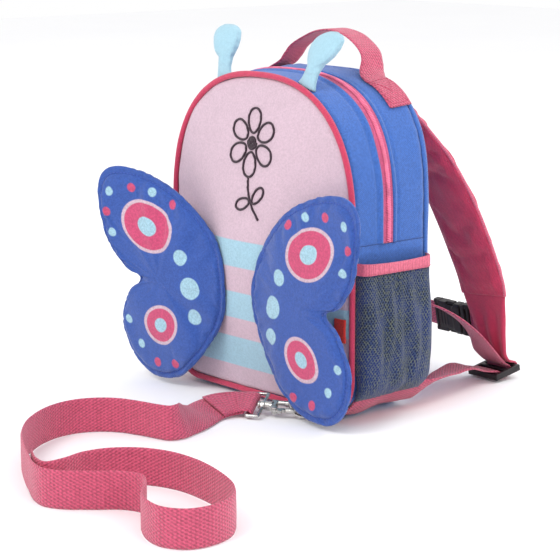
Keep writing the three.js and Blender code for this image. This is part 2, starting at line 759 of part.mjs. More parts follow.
// The lower webbing: sewn along the bag's corner, then back to the lock, through it and up
// again as a loose tail
function lowerWebbing() {
  const thick = webbingThickness;
  const wide = webbingWidth;
  const corner = [0.07, 0.2, 0.35, 0.5, 0.65, 0.8, 0.93, 1.08].map((t) => {
    const at = onBag(t, 1, cornerPlace, 2 * gap + thick / 2 + 3 * gap * smoothstep((t - 0.6) / 0.3));
    const across = onBag(t, 1, cornerPlace + 0.1).sub(onBag(t, 1, cornerPlace - 0.1)).normalize();
    return { at, across, wide, cup: wide ** 2 / (8 * cornerAt(t)) };
  });
  const half = lockLength / 2;
  const over = lockHeight / 2 + thick / 2;
  const across = V(1, 0, 0);
  const arched = [
    { at: V(87.5, 58, 15.3), across: V(0.92, 0, 0.4), wide },
    { at: V(81, 80, 17), across: V(0.99, 0, 0.1), wide },
    { at: V(75, 104, 17.3), across, wide },
  ];
  const laced = [
    { u: -half - 7, w: over + 4.4 },
    { u: -half + 1.6, w: over + 0.9 },
    { u: -half + 5, w: over },
    { u: -half + 8.6, w: 1 },
    { u: -2.2, w: -1.1 },
    { u: 1, w: -1.4 },
    { u: 4.2, w: -1 },
    { u: 6.1, w: 1.1 },
    { u: 5.2, w: 3.6 },
    { u: 2.2, w: 5.8 },
  ].map(({ u, w }) => ({ at: inLock(u, w), across, wide }));
  const tail = [
    { at: V(69.5, 139, 20.5), across, wide },
    { at: V(78, 124, 32), across: V(0.95, -0.3, 0.1), wide },
    { at: V(81.5, 108, 46), across: V(0.88, -0.45, 0.14), wide },
    { at: V(78, 95, 57.5), across: V(0.8, -0.58, 0.18), wide },
    { at: V(69.5, 84, 65.5), across: V(0.74, -0.64, 0.19), wide },
    { at: V(58, 73, 70), across: V(0.72, -0.66, 0.2), wide },
  ];
  const stations = [...corner, ...arched, ...laced, ...tail].map((s) => ({ ...s, thick }));
  return strap(stations, cuppedSection, 1);
}

// Chest strap: a fastened side-release buckle beside the right shoulder strap
const chestTurn = new THREE.Matrix4()
  .makeRotationX(rad(chestTilt))
  .setPosition(0, chestBack, chestHeight);
const buckleWaist = { wide: 8, deep: 2.5, shift: 3 };

function chestHalfBuckle(x0, x1) {
  const { high, thick } = chestBuckle;
  return box(x1 - x0, thick, high, [(x0 + x1) / 2, 0, 0]);
}

const buckleSocket = () => {
  const { left, split, high, thick } = chestBuckle;
  const body = chestHalfBuckle(left, split - gap / 2);
  const { wide, deep, shift } = buckleWaist;
  const waist = (z) => box(wide, thick + 2, 2 * deep, [(left + split) / 2 + shift, 0, z]);
  const trimmed = [-high / 2, high / 2]
    .reduce((rest, z) => rest.subtract(solid(waist(z))), solid(body));
  return fromSolid(trimmed).applyMatrix4(chestTurn);
};
const bucklePlug = () => {
  const { right, split } = chestBuckle;
  return chestHalfBuckle(split + gap / 2, right).applyMatrix4(chestTurn);
};

function chestBand(from, to, sag) {
  const across = V(0, 0, 1).transformDirection(chestTurn);
  const stations = steps(4).map((share) => ({
    at: V(mix(from, to, share), sag * Math.sin(Math.PI * Math.min(share / chestFree, 1)), 0)
      .applyMatrix4(chestTurn),
    across,
    wide: chestWebbing,
    thick: webbingThickness,
  }));
  return strap(stations, flatSection, 2);
}
const chestRight = () => chestBand(chestBuckle.right + gap, chestReach, 0);
const chestLeft = () => chestBand(chestBuckle.left - gap, -chestReach, chestSag);

// The snap hook in its own frame: a along the hook, b across it, c up from its plane
const hookTurn = new THREE.Matrix4()
  .makeRotationZ(rad(hookHeading))
  .multiply(new THREE.Matrix4().makeRotationX(rad(hookRoll)))
  .setPosition(...eyeCentre);
const inHook = (a, b, c = 0) => V(a, b, c).applyMatrix4(hookTurn);
const stemRadius = 1.7;
const eyeLength = 8.4;
const hubLength = 3.2;
const claw = { start: 18, bend: 30.5, half: 4.6, tip: 27.2 };
const pivot = { a: 18.6, b: -4.6, radius: 1.0 };

function hookEye() {
  const half = eyeInner / 2 + eyeWire;
  const corners = [[0, -half], [0, half], [eyeLength, half], [eyeLength, -half]];
  const rods = corners.map(([a, b], i) => {
    const [a1, b1] = corners[(i + 1) % corners.length];
    return bar(V(a, b, 0), V(a1, b1, 0), eyeWire, 8);
  });
  const knobs = corners.map(([a, b]) => new THREE.SphereGeometry(eyeWire, 8, 4).translate(a, b, 0));
  const hub = bar(V(eyeLength - hubLength / 2, 0, 0), V(eyeLength + hubLength / 2, 0, 0), 3.4, 12);
  const bore = bar(V(eyeLength - 5, 0, 0), V(eyeLength + 5, 0, 0), stemRadius + gap, 12);
  const whole = [...rods, ...knobs, hub].map(solid).reduce((a, b) => a.add(b));
  return fromSolid(whole.subtract(solid(bore))).applyMatrix4(hookTurn);
}

function snapHook() {
  const hubEnd = eyeLength + hubLength / 2;
  const { start, bend, half, tip } = claw;
  const stem = bar(V(eyeLength - hubLength / 2 - gap - 1.6, 0, 0), V(hubEnd + 2, 0, 0), stemRadius, 10);
  const head = bar(
    V(eyeLength - hubLength / 2 - gap - 1.6, 0, 0),
    V(eyeLength - hubLength / 2 - gap, 0, 0), 2.9, 10);
  const barrel = bar(V(hubEnd + gap, 0, 0), V(start - 2, 0, 0), 3.6, 10);
  const neck = box(4.4, 10, 4, [start - 1.4, 0.6, 0]);
  const path = [
    V(start - 2, half, 0), V(start + 4, half, 0), V(bend - 2, half, 0), V(bend, half, 0),
    ...steps(6).map((p) => {
      const angle = Math.PI / 2 - p * Math.PI;
      return V(bend + half * Math.cos(angle), half * Math.sin(angle), 0);
    }).slice(1),
    V(tip, -half, 0),
  ];
  const rod = wire(path, hookWire, 7);
  const ear = (c) => bar(V(pivot.a, pivot.b, c - 0.6), V(pivot.a, pivot.b, c + 0.6), 2.3, 10);
  const pin = bar(V(pivot.a, pivot.b, -2.8), V(pivot.a, pivot.b, 2.8), pivot.radius, 10);
  const arms = [-2.2, 2.2].map((c) => box(3, 5, 1.2, [start - 0.6, -2.6, c]));
  const parts = [stem, head, barrel, neck, rod, ear(-2.2), ear(2.2), pin, ...arms];
  const slot = box(5, 6, 3.2, [pivot.a + 0.2, pivot.b - 0.1, 0]);
  const pocket = solid(slot);
  const blank = parts.filter((p) => p !== pin).map(solid).reduce((a, b) => a.add(b));
  return fromSolid(blank.subtract(pocket).add(solid(pin))).applyMatrix4(hookTurn);
}

function snapGate() {
  const { tip, half } = claw;
  const thick = 2.6;
  const knuckle = bar(V(pivot.a, pivot.b, -thick / 2), V(pivot.a, pivot.b, thick / 2), 2.2, 12);
  const length = tip - 2 * gap - pivot.a;
  const lever = box(length, 2.6, thick, [pivot.a + length / 2, -half + 0.1, 0]);
  const thumb = box(3, 1.8, thick, [pivot.a + length * 0.55, -half - 1.9, 0]);
  const bore = bar(V(pivot.a, pivot.b, -4), V(pivot.a, pivot.b, 4), pivot.radius + gap, 10);
  const whole = [knuckle, lever, thumb].map(solid).reduce((a, b) => a.add(b));
  return fromSolid(whole.subtract(solid(bore))).applyMatrix4(hookTurn);
}

// The ring on its tab, in an upright plane between the hook's claw and the front panel
const ringHold = inHook(claw.bend - 1.5, 0);
const ringHeading = rad(16);
const ringHalf = tabWidth / 2 + gap + ringWire;
const ringMiddle = ringHalf + ringWire + 0.6;
const inRing = (a, up, off = 0) => V(
  ringHold.x + a * Math.cos(ringHeading) - off * Math.sin(ringHeading),
  ringHold.y + a * Math.sin(ringHeading) + off * Math.cos(ringHeading),
  ringMiddle + up,
);

const ringLength = 13;
function dRing() {
  const curve = steps(8).map((p) => {
    const angle = Math.PI / 2 + p * Math.PI;
    return inRing(ringHalf * 0.8 * (1 + Math.cos(angle)), ringHalf * Math.sin(angle));
  });
  const straight = [
    inRing(ringLength - 1, -ringHalf), inRing(ringLength, -ringHalf + 1.2),
    inRing(ringLength, 0), inRing(ringLength, ringHalf - 1.2), inRing(ringLength - 1, ringHalf),
  ];
  return wire([...curve, ...straight], ringWire, 6, true);
}

function ringTab() {
  const r = ringWire + gap + tabThickness / 2;
  const around = [
    [2.6, -r * 0.75], [0, -r], [-r * 0.75, -r * 0.7], [-r, 0],
    [-r * 0.7, r * 0.75], [0, r], [3, r * 0.9],
  ].map(([along, off]) => inRing(ringLength + along, 0, off));
  const end = inRing(ringLength + 3, 0);
  const reach = [7, 13, 18].map((d) => {
    const x = end.x + d;
    return V(x, panelAt(x, ringMiddle + 6) - gap - tabThickness / 2 - 0.8, ringMiddle);
  });
  const stations = [...around, ...reach].map((at) => ({
    at, across: V(0, 0, 1), wide: tabWidth, thick: tabThickness,
  }));
  return strap(stations, flatSection, 2);
}

// The rein, a free strap of webbing
const leashPoints = leashRoute.map(({ x, y, z }) => V(x, y, z));
const leashStations = leashRoute.map(({ lean }, i) => {
  const ahead = leashPoints[Math.min(i + 1, leashPoints.length - 1)];
  const behind = leashPoints[Math.max(i - 1, 0)];
  const run = ahead.clone().sub(behind).setZ(0).normalize();
  const right = V(run.y, -run.x, 0);
  const across = V(0, 0, Math.cos(rad(lean))).addScaledVector(right, Math.sin(rad(lean)));
  return { at: leashPoints[i], across, wide: webbingWidth, thick: webbingThickness };
});
const leash = () => strap(leashStations, flatSection, 2);

// The rein's sewn end: it goes round the eye's bar and lies back over the rein
function leashFold() {
  const r = eyeWire + 2 * gap + webbingThickness / 2;
  const band = { wide: webbingWidth, thick: webbingThickness };
  const across = V(0, -1, 0).transformDirection(hookTurn);
  const wrap = [-2.4, -1.2, 0, 1.2, 1.9].map((angle) => ({
    at: inHook(r * Math.cos(angle), 0, r * Math.sin(angle)), across, ...band,
  }));
  const course = strapCourse(leashStations);
  const share = (length) => {
    const curve = new THREE.CatmullRomCurve3(leashPoints, false, "centripetal");
    return curve.getUtoTmapping(length / curve.getLength());
  };
  const flap = [3, 9, 15.5, 22, flapLength].map((length) => {
    const { at, across: lie, normal } = course(share(length));
    const up = Math.sign(normal.z);
    return {
      at: at.addScaledVector(normal, up * (webbingThickness + 2.4 * gap)),
      across: lie.multiplyScalar(Math.sign(lie.dot(across))),
      ...band,
    };
  });
  return strap([...wrap, ...flap], flatSection, 2);
}

// Assembly
const finish = (colour, roughness = 0.9, metalness = 0) =>
  new THREE.MeshStandardMaterial({ color: colour, roughness, metalness });

const bag = new THREE.Group();
function add(name, geometry, material) {
  const mesh = new THREE.Mesh(geometry, material);
  mesh.name = name;
  bag.add(mesh);
}
function addPair(name, geometry, material) {
  add(`${name}_right`, geometry, material);
  add(`${name}_left`, mirrored(geometry), material);
}

const blueCloth = finish(colours.blue);
const pinkCloth = finish(colours.pink);
const plastic = finish(colours.plastic, 0.45);
const metal = finish(colours.metal, 0.3, 1);

add("front_panel", frontPanel(), finish(colours.palePink));
add("front_piping", frontPiping(), pinkCloth);
add("front_gusset", frontGusset(), blueCloth);
add("zip_tape", zipTape(), pinkCloth);
add("zip_coil", zipCoil(), finish(colours.pink, 0.6));
add("zip_slider", zipSlider(), finish(colours.pink, 0.5));
add("back_gusset", backGusset(), blueCloth);
add("base_gusset", baseGusset(), blueCloth);
add("back_panel", backPanel(), blueCloth);
add("grab_handle", grabHandle(), pinkCloth);
add("antenna_right", antenna(antennaSplay.right), finish(colours.lightBlue));
add("antenna_left", mirrored(antenna(antennaSplay.left)), finish(colours.lightBlue));
add("wing_right", wing(wingFlare.right), finish(colours.wingBlue));
add("wing_left", mirrored(wing(wingFlare.left)), finish(colours.wingBlue));
addPair("side_pocket", sidePocket(), finish(colours.mesh));
addPair("pocket_binding", pocketBinding(), finish(colours.coral));
add("label_tab", labelTab(), finish(colours.red, 0.7));
addPair("shoulder_strap", shoulderStrap(), pinkCloth);
addPair("strap_end", strapEnd(), pinkCloth);
addPair("ladder_lock", ladderLock(), plastic);
addPair("lower_webbing", lowerWebbing(), pinkCloth);
add("chest_strap_right", chestRight(), pinkCloth);
add("chest_strap_left", chestLeft(), pinkCloth);
add("chest_buckle_socket", buckleSocket(), plastic);
add("chest_buckle_plug", bucklePlug(), plastic);
add("ring_tab", ringTab(), finish(colours.black));
add("d_ring", dRing(), metal);
add("hook_eye", hookEye(), metal);
add("snap_hook", snapHook(), metal);
add("snap_gate", snapGate(), metal);
add("leash_fold", leashFold(), pinkCloth);
add("leash", leash(), pinkCloth);

export default bag;
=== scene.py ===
import math

import bmesh
import bpy
import numpy as np
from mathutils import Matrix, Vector, noise


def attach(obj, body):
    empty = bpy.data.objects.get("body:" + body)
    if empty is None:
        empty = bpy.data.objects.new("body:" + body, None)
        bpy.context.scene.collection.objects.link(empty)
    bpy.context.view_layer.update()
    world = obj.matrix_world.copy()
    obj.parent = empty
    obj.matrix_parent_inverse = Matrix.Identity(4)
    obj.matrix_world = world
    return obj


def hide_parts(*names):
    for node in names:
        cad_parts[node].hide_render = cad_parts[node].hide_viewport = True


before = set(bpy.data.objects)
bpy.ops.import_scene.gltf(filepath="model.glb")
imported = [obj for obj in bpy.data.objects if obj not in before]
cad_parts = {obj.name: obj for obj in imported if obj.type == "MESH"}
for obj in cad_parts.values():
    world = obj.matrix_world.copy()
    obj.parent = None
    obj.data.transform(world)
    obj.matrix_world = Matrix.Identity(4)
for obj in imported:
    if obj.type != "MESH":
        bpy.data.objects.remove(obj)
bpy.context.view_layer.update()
MM = 0.001
TAU = 2 * math.pi

# Camera
camera = bpy.data.objects.new("camera", bpy.data.cameras.new("camera"))
bpy.context.scene.collection.objects.link(camera)
camera.location = Vector((1087.4, -957.5, 374.6)) * MM
aim = Vector((-2.7, -14.0, 88.8)) * MM
camera.rotation_euler = (aim - camera.location).to_track_quat("-Z", "Y").to_euler()
camera.data.angle = math.radians(16.34)
camera.data.clip_end = 20
bpy.context.scene.camera = camera

# Sizes shared with the solids; a pair is the front's value and the back's
HALF_WIDTH = (100.8, 102.6)
HEIGHT = (245, 247.6)
DOME_POWER = (2.4, 3.18)
CORNER = (28, 46)
CORNER_SHARE = 0.7
TOE = {"lift": 5, "share": 0.35}
DEPTH = 72.0
DOME = 140.0
GAP = 0.3
WALL = 2
PIPING = 2.2
WEB = {"wide": 25.0, "thick": 1.6}
LIFT = 0.6 + WEB["thick"] / 2
ZIP = 0.466
ZIP_TAPE = 9.4
SEAM = 129.8
POCKET = {"bottom": 20.0, "top": 110.0, "stand": 8.5, "belly": 13.0, "end": 0.03, "binding": 9}
BACK_FACE = DEPTH / 2 + WALL + 1.6

SAME_POINT = 2e-6
X_AXIS = np.array([1.0, 0, 0])
span = np.linspace


def mix(a, b, t):
    return a + (b - a) * t


def smooth(t):
    t = np.clip(t, 0, 1)
    return t * t * (3 - 2 * t)


def runs(*parts):
    """Numbers in a row from several parts of first, last and count."""
    return np.concatenate([span(*part) for part in parts])


def bell(value, middle, wide):
    return math.exp(-((value - middle) / wide) ** 2)


def facing(value):
    return int(math.copysign(1, value))


def base_height(t):
    return TOE["lift"] * (1 - smooth(t / TOE["share"]))


def corner(t):
    return mix(*CORNER, smooth(t / CORNER_SHARE))


def half_outline(t, s):
    """The right half of the outline at depth t: base, corner, side and dome as s goes from 0 to 4."""
    wide, top = mix(*HALF_WIDTH, t), mix(*HEIGHT, t)
    power = 2 / mix(*DOME_POWER, t)
    base, r = base_height(t), corner(t)
    if s < 1:
        return (wide - r) * s, base
    if s < 2:
        a = (s - 1) * math.pi / 2
        return wide - r * (1 - math.sin(a)), base + r * (1 - math.cos(a))
    if s < 3:
        return wide, mix(base + r, DOME, s - 2)
    a = (1 - math.cos(math.pi * (s - 3))) / 2 * math.pi / 2
    return wide * max(math.cos(a), 0) ** power, DOME + (top - DOME) * math.sin(a) ** power


def on_bag(t, side, s, off=0.0):
    """A place on the bag, off millimetres outside its outline."""
    x, z = half_outline(t, s)
    x0, z0 = half_outline(t, max(s - 0.01, 0))
    x1, z1 = half_outline(t, min(s + 0.01, 4))
    n = np.array([z1 - z0, 0, x0 - x1]) if s < 4 else np.array([0, 0, 1.0])
    n /= np.linalg.norm(n)
    return np.array([side * (x + n[0] * off), (t - 0.5) * DEPTH, z + n[2] * off])


def side_share(t, height):
    """The outline's s at a height of the side."""
    r = corner(t)
    foot = base_height(t) + r
    if height > foot:
        return 2 + (height - foot) / (DOME - foot)
    return 1 + math.acos((foot - height) / r) / (math.pi / 2)


def ripple(p, size, seed=0.0):
    """Soft noise from -1 to 1 at a place in millimetres."""
    return noise.noise(Vector((p[0] / size + seed, p[1] / size - seed, p[2] / size + 3.1 * seed)))


# Meshes
class Build:
    def __init__(self):
        self.v, self.f, self.uv = [], [], []

    def grid(self, points, uv, wrap=False):
        """Quads over a grid of points; a wrapped grid has one more row of uv than of points."""
        nu, nv = points.shape[:2]
        first = len(self.v)
        self.v.extend(points.reshape(-1, 3).tolist())
        for i in range(nu if wrap else nu - 1):
            for j in range(nv - 1):
                a, b = first + i * nv + j, first + ((i + 1) % nu) * nv + j
                self.f.append((a, b, b + 1, a + 1))
                self.uv.extend((uv[i][j], uv[i + 1][j], uv[i + 1][j + 1], uv[i][j + 1]))
        return self

    def strip(self, a, b, uv_a, uv_b, wrap=False):
        uv = np.stack([uv_a, uv_b], 1)
        return self.grid(np.stack([a, b], 1), uv, wrap)

    def add(self, part):
        first = len(self.v)
        self.v.extend(part.v)
        self.f.extend(tuple(i + first for i in f) for f in part.f)
        self.uv.extend(part.uv)

    def ends(self, points, uv, share=1.0):
        """Closes both ends of a grid that runs round a strap or a limb."""
        for k in (0, -1):
            middle = np.repeat(points[k].mean(0)[None], points.shape[1], 0)
            self.strip(points[k], middle, uv[k], uv[k] * share)
        return self

    def done(self, name, material, slot, node=None):
        mesh = bpy.data.meshes.new(name)
        mesh.from_pydata((np.array(self.v) * MM).tolist(), [], self.f)
        layer = mesh.uv_layers.new(name="UVMap")
        layer.data.foreach_set("uv", np.array(self.uv, float).reshape(-1))
        bm = bmesh.new()
        bm.from_mesh(mesh)
        bmesh.ops.remove_doubles(bm, verts=bm.verts, dist=SAME_POINT)
        bmesh.ops.dissolve_degenerate(bm, dist=1e-7, edges=bm.edges)
        bmesh.ops.recalc_face_normals(bm, faces=bm.faces)
        bm.to_mesh(mesh)
        bm.free()
        return place(name, mesh, material, node)


def dress(mesh, material):
    for face in mesh.polygons:
        face.use_smooth = True
    mesh.materials.clear()
    mesh.materials.append(material)


def place(name, mesh, material, node=None, body="bag"):
    dress(mesh, material)
    o = bpy.data.objects.new(name, mesh)
    bpy.context.scene.collection.objects.link(o)
    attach(o, body)
    if node:
        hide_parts(node)
    return o


def slab(outer, inner, uv, wrap=False):
    """A closed wall between two grids of points."""
    b = Build()
    b.grid(outer, uv, wrap).grid(inner, uv, wrap)
    b.strip(outer[:, 0], inner[:, 0], uv[:, 0], uv[:, 0] + [0, 2], wrap)
    b.strip(outer[:, -1], inner[:, -1], uv[:, -1], uv[:, -1] + [0, 2], wrap)
    if not wrap:
        b.strip(outer[0], inner[0], uv[0], uv[0] + [2, 0])
        b.strip(outer[-1], inner[-1], uv[-1], uv[-1] + [2, 0])
    return b


def grid_uv(across, along):
    return np.stack(np.broadcast_arrays(across, along), 2)


def lengths(points):
    """Running length along a row of points."""
    d = np.linalg.norm(np.diff(points, axis=0), axis=1)
    return np.concatenate([[0], np.cumsum(d)])


def normals_of(points, wrap=False):
    """Unit normals of a grid of points."""
    pad = np.concatenate([points[-1:], points, points[:1]]) if wrap else points
    du = np.gradient(pad, axis=0)
    if wrap:
        du = du[1:-1]
    n = np.cross(du, np.gradient(points, axis=1))
    size = np.linalg.norm(n, axis=2, keepdims=True)
    return n / np.maximum(size, 1e-9)


def curve(points, shares, closed=False, uniform=False):
    """A Catmull-Rom curve through points, at shares from 0 to 1."""
    pts = np.array(points, float)
    n = len(pts)
    out = []
    for share in shares:
        place_at = share * (n if closed else n - 1)
        i = min(int(place_at), n - 1 if closed else n - 2)
        w = place_at - i
        p1, p2 = pts[i % n], pts[(i + 1) % n]
        p0 = pts[(i - 1) % n] if closed or i > 0 else 2 * pts[0] - pts[1]
        p3 = pts[(i + 2) % n] if closed or i + 2 < n else 2 * pts[-1] - pts[-2]
        if uniform:
            t1, t2 = (p2 - p0) / 2, (p3 - p1) / 2
        else:
            d0, d1, d2 = (max(np.sum((b - a) ** 2), 1e-12) ** 0.25
                          for a, b in ((p0, p1), (p1, p2), (p2, p3)))
            t1 = ((p1 - p0) / d0 - (p2 - p0) / (d0 + d1) + (p2 - p1) / d1) * d1
            t2 = ((p2 - p1) / d1 - (p3 - p1) / (d1 + d2) + (p3 - p2) / d2) * d1
        c2, c3 = -3 * p1 + 3 * p2 - 2 * t1 - t2, 2 * p1 - 2 * p2 + t1 + t2
        out.append(p1 + w * (t1 + w * (c2 + w * c3)))
    return np.array(out)


def unit(v):
    return v / np.maximum(np.linalg.norm(v, axis=-1, keepdims=True), 1e-12)


def course(stations, per):
    """Where a strap runs: middle, across, normal and sizes at many places along it."""
    n = len(stations)
    count = (n - 1) * per
    shares = span(0, 1, count + 1)
    at = curve([s["at"] for s in stations], shares)
    step = 0.002
    ahead = curve([s["at"] for s in stations], np.clip(shares + step, 0, 1))
    behind = curve([s["at"] for s in stations], np.clip(shares - step, 0, 1))
    run = unit(ahead - behind)
    knots = np.arange(n)
    spots = shares * (n - 1)

    def blend(pick):
        return np.interp(spots, knots, [pick(s) for s in stations])

    across = np.stack([blend(lambda s, k=k: s["across"][k]) for k in range(3)], 1)
    across = unit(across - run * np.sum(across * run, axis=1, keepdims=True))
    return {
        "at": at, "across": across, "normal": np.cross(run, across),
        "wide": blend(lambda s: s.get("wide", WEB["wide"])),
        "thick": blend(lambda s: s.get("thick", WEB["thick"])),
        "cup": blend(lambda s: s.get("cup", 0)),
        "length": lengths(at),
    }


def flat_section(columns=9):
    """Section of woven webbing: flat faces, round edges."""
    a = span(-0.5, 0.5, columns)
    h = 0.5 * (1 - 0.75 * np.clip((np.abs(a) - 0.455) / 0.045, 0, 1) ** 2)
    return np.concatenate([np.stack([a, h], 1), np.stack([a[::-1], -h[::-1]], 1)])


def padded_section(columns=15):
    """Section of a padded strap: crowned, with a stitched dent inside each edge."""
    a = span(-0.5, 0.5, columns)
    r = np.abs(a) * 2
    h = 0.5 * (1 - 0.16 * r**2)
    h -= 0.26 * np.exp(-(((r - 0.86) / 0.05) ** 2))
    h *= 1 - 0.62 * np.clip((r - 0.9) / 0.1, 0, 1) ** 2
    return np.concatenate([np.stack([a, h], 1), np.stack([a[::-1], -h[::-1]], 1)])


def band(c, section, wobble=0.0, seed=0.0, shape=None):
    """A strap of the given section along a course; shape adds folds by length and place across."""
    rows = []
    for k in range(len(c["at"])):
        a, h = section[:, :1], section[:, 1:]
        sag = c["cup"][k] * (2 * a) ** 2
        p = c["at"][k] + a * c["wide"][k] * c["across"][k]
        rows.append(p + (h * c["thick"][k] - sag) * c["normal"][k])
    points = np.array(rows)
    if shape:
        for k, row in enumerate(points):
            row += c["normal"][k] * np.array([shape(c["length"][k], a) for a in section[:, 0]])[:, None]
    if wobble:
        for row, n in zip(points, c["normal"]):
            for q in row:
                q += n * wobble * ripple(q, 14, seed)
    points = np.concatenate([points, points[:, :1]], 1)
    across = np.append(section[:, 0], section[0, 0])
    uv = grid_uv(across[None, :] * c["wide"][:, None], c["length"][:, None])
    return Build().grid(points, uv).ends(points, uv, 0.2)


def tube(centres, radius, sides=12, closed=False, normals=None):
    """A round cord of thread, piping or wire along points."""
    c = np.array(centres, float)
    run = unit(np.roll(c, -1, 0) - np.roll(c, 1, 0)) if closed else unit(np.gradient(c, axis=0))
    if normals is None:
        up = np.array([0.0, 0.0, 1.0])
        first = np.cross(run[0], up)
        if np.linalg.norm(first) < 0.2:
            first = np.cross(run[0], [1.0, 0, 0])
        normals, n = [], unit(first)
        for r in run:
            n = unit(n - r * np.dot(n, r))
            normals.append(n)
        normals = np.array(normals)
    side = np.cross(run, normals)
    angle = span(0, TAU, sides + 1)
    radius = np.broadcast_to(np.array(radius, float), (len(c),))[:, None, None]
    ring = normals[:, None] * np.cos(angle)[None, :, None] + side[:, None] * np.sin(angle)[None, :, None]
    points = c[:, None] + ring * radius
    uv = grid_uv(angle[None] * np.max(radius), lengths(c)[:, None])
    if closed:
        uv = np.concatenate([uv, uv[-1:] + [0, 1.5]])
    b = Build().grid(points, uv, closed)
    if not closed:
        for k in (0, -1):
            middle = np.repeat(c[k][None] + run[k] * radius[k, 0] * (0.5 if k else -0.5), sides + 1, 0)
            b.strip(points[k], middle, uv[k], uv[k])
    return b


def stitches(name, rows, material, slot, pitch, long, radius=0.28):
    """Rows of sewing: each row is points and outward normals."""
    b = Build()
    for points, out in rows:
        points, out = np.array(points, float), np.array(out, float)
        run = lengths(points)
        for start in np.arange(pitch / 2, run[-1] - long, pitch):
            spots = start + np.array([0, 0.12, 0.5, 0.88, 1.0]) * long
            c = np.stack([np.interp(spots, run, points[:, k]) for k in range(3)], 1)
            n = unit(np.stack([np.interp(spots, run, out[:, k]) for k in range(3)], 1))
            c = c + n * np.array([-1.1, 0.1, 0.5, 0.1, -1.1])[:, None] * radius
            b.add(tube(c, [radius * 0.5, radius, radius, radius, radius * 0.5], 5))
    b.done(name, material, slot)


def puff(o, pinned, pressure, frames, cap, shrink):
    """Lets the cloth of a padded piece swell between its sewn lines, then keeps the result."""
    mesh = o.data
    count = len(mesh.vertices)
    rest = np.zeros(count * 3)
    mesh.vertices.foreach_get("co", rest)
    rest = rest.reshape(-1, 3)
    group = o.vertex_groups.new(name="sewn")
    weights = pinned(rest / MM)
    for i in np.nonzero(weights > 0)[0]:
        group.add([int(i)], float(weights[i]), "REPLACE")
    m = o.modifiers.new("Cloth", "CLOTH")
    s = m.settings
    s.quality = 4
    s.mass = 0.15
    s.tension_stiffness = s.compression_stiffness = 8.0
    s.bending_stiffness = 0.3
    s.use_pressure = True
    s.uniform_pressure_force = pressure
    s.shrink_min = -shrink
    s.vertex_group_mass = "sewn"
    s.effector_weights.gravity = 0
    m.collision_settings.use_collision = False
    m.point_cache.frame_end = frames
    scene = bpy.context.scene
    for f in range(1, frames + 1):
        scene.frame_set(f)
    out = o.evaluated_get(bpy.context.evaluated_depsgraph_get())
    moved = np.zeros(count * 3)
    out.data.vertices.foreach_get("co", moved)
    step = moved.reshape(-1, 3) - rest
    size = np.linalg.norm(step, axis=1, keepdims=True)
    step *= np.minimum(1, cap * MM / np.maximum(size, 1e-12))
    o.modifiers.remove(m)
    o.vertex_groups.clear()
    mesh.vertices.foreach_set("co", (rest + step).reshape(-1))
    mesh.update()
    scene.frame_set(1)


# Materials
def rgb(r, g, b):
    """Linear colour from 0 to 255 values."""
    return tuple(((c / 255) / 12.92 if c / 255 <= 0.04045 else ((c / 255 + 0.055) / 1.055) ** 2.4)
                 for c in (r, g, b)) + (1.0,)


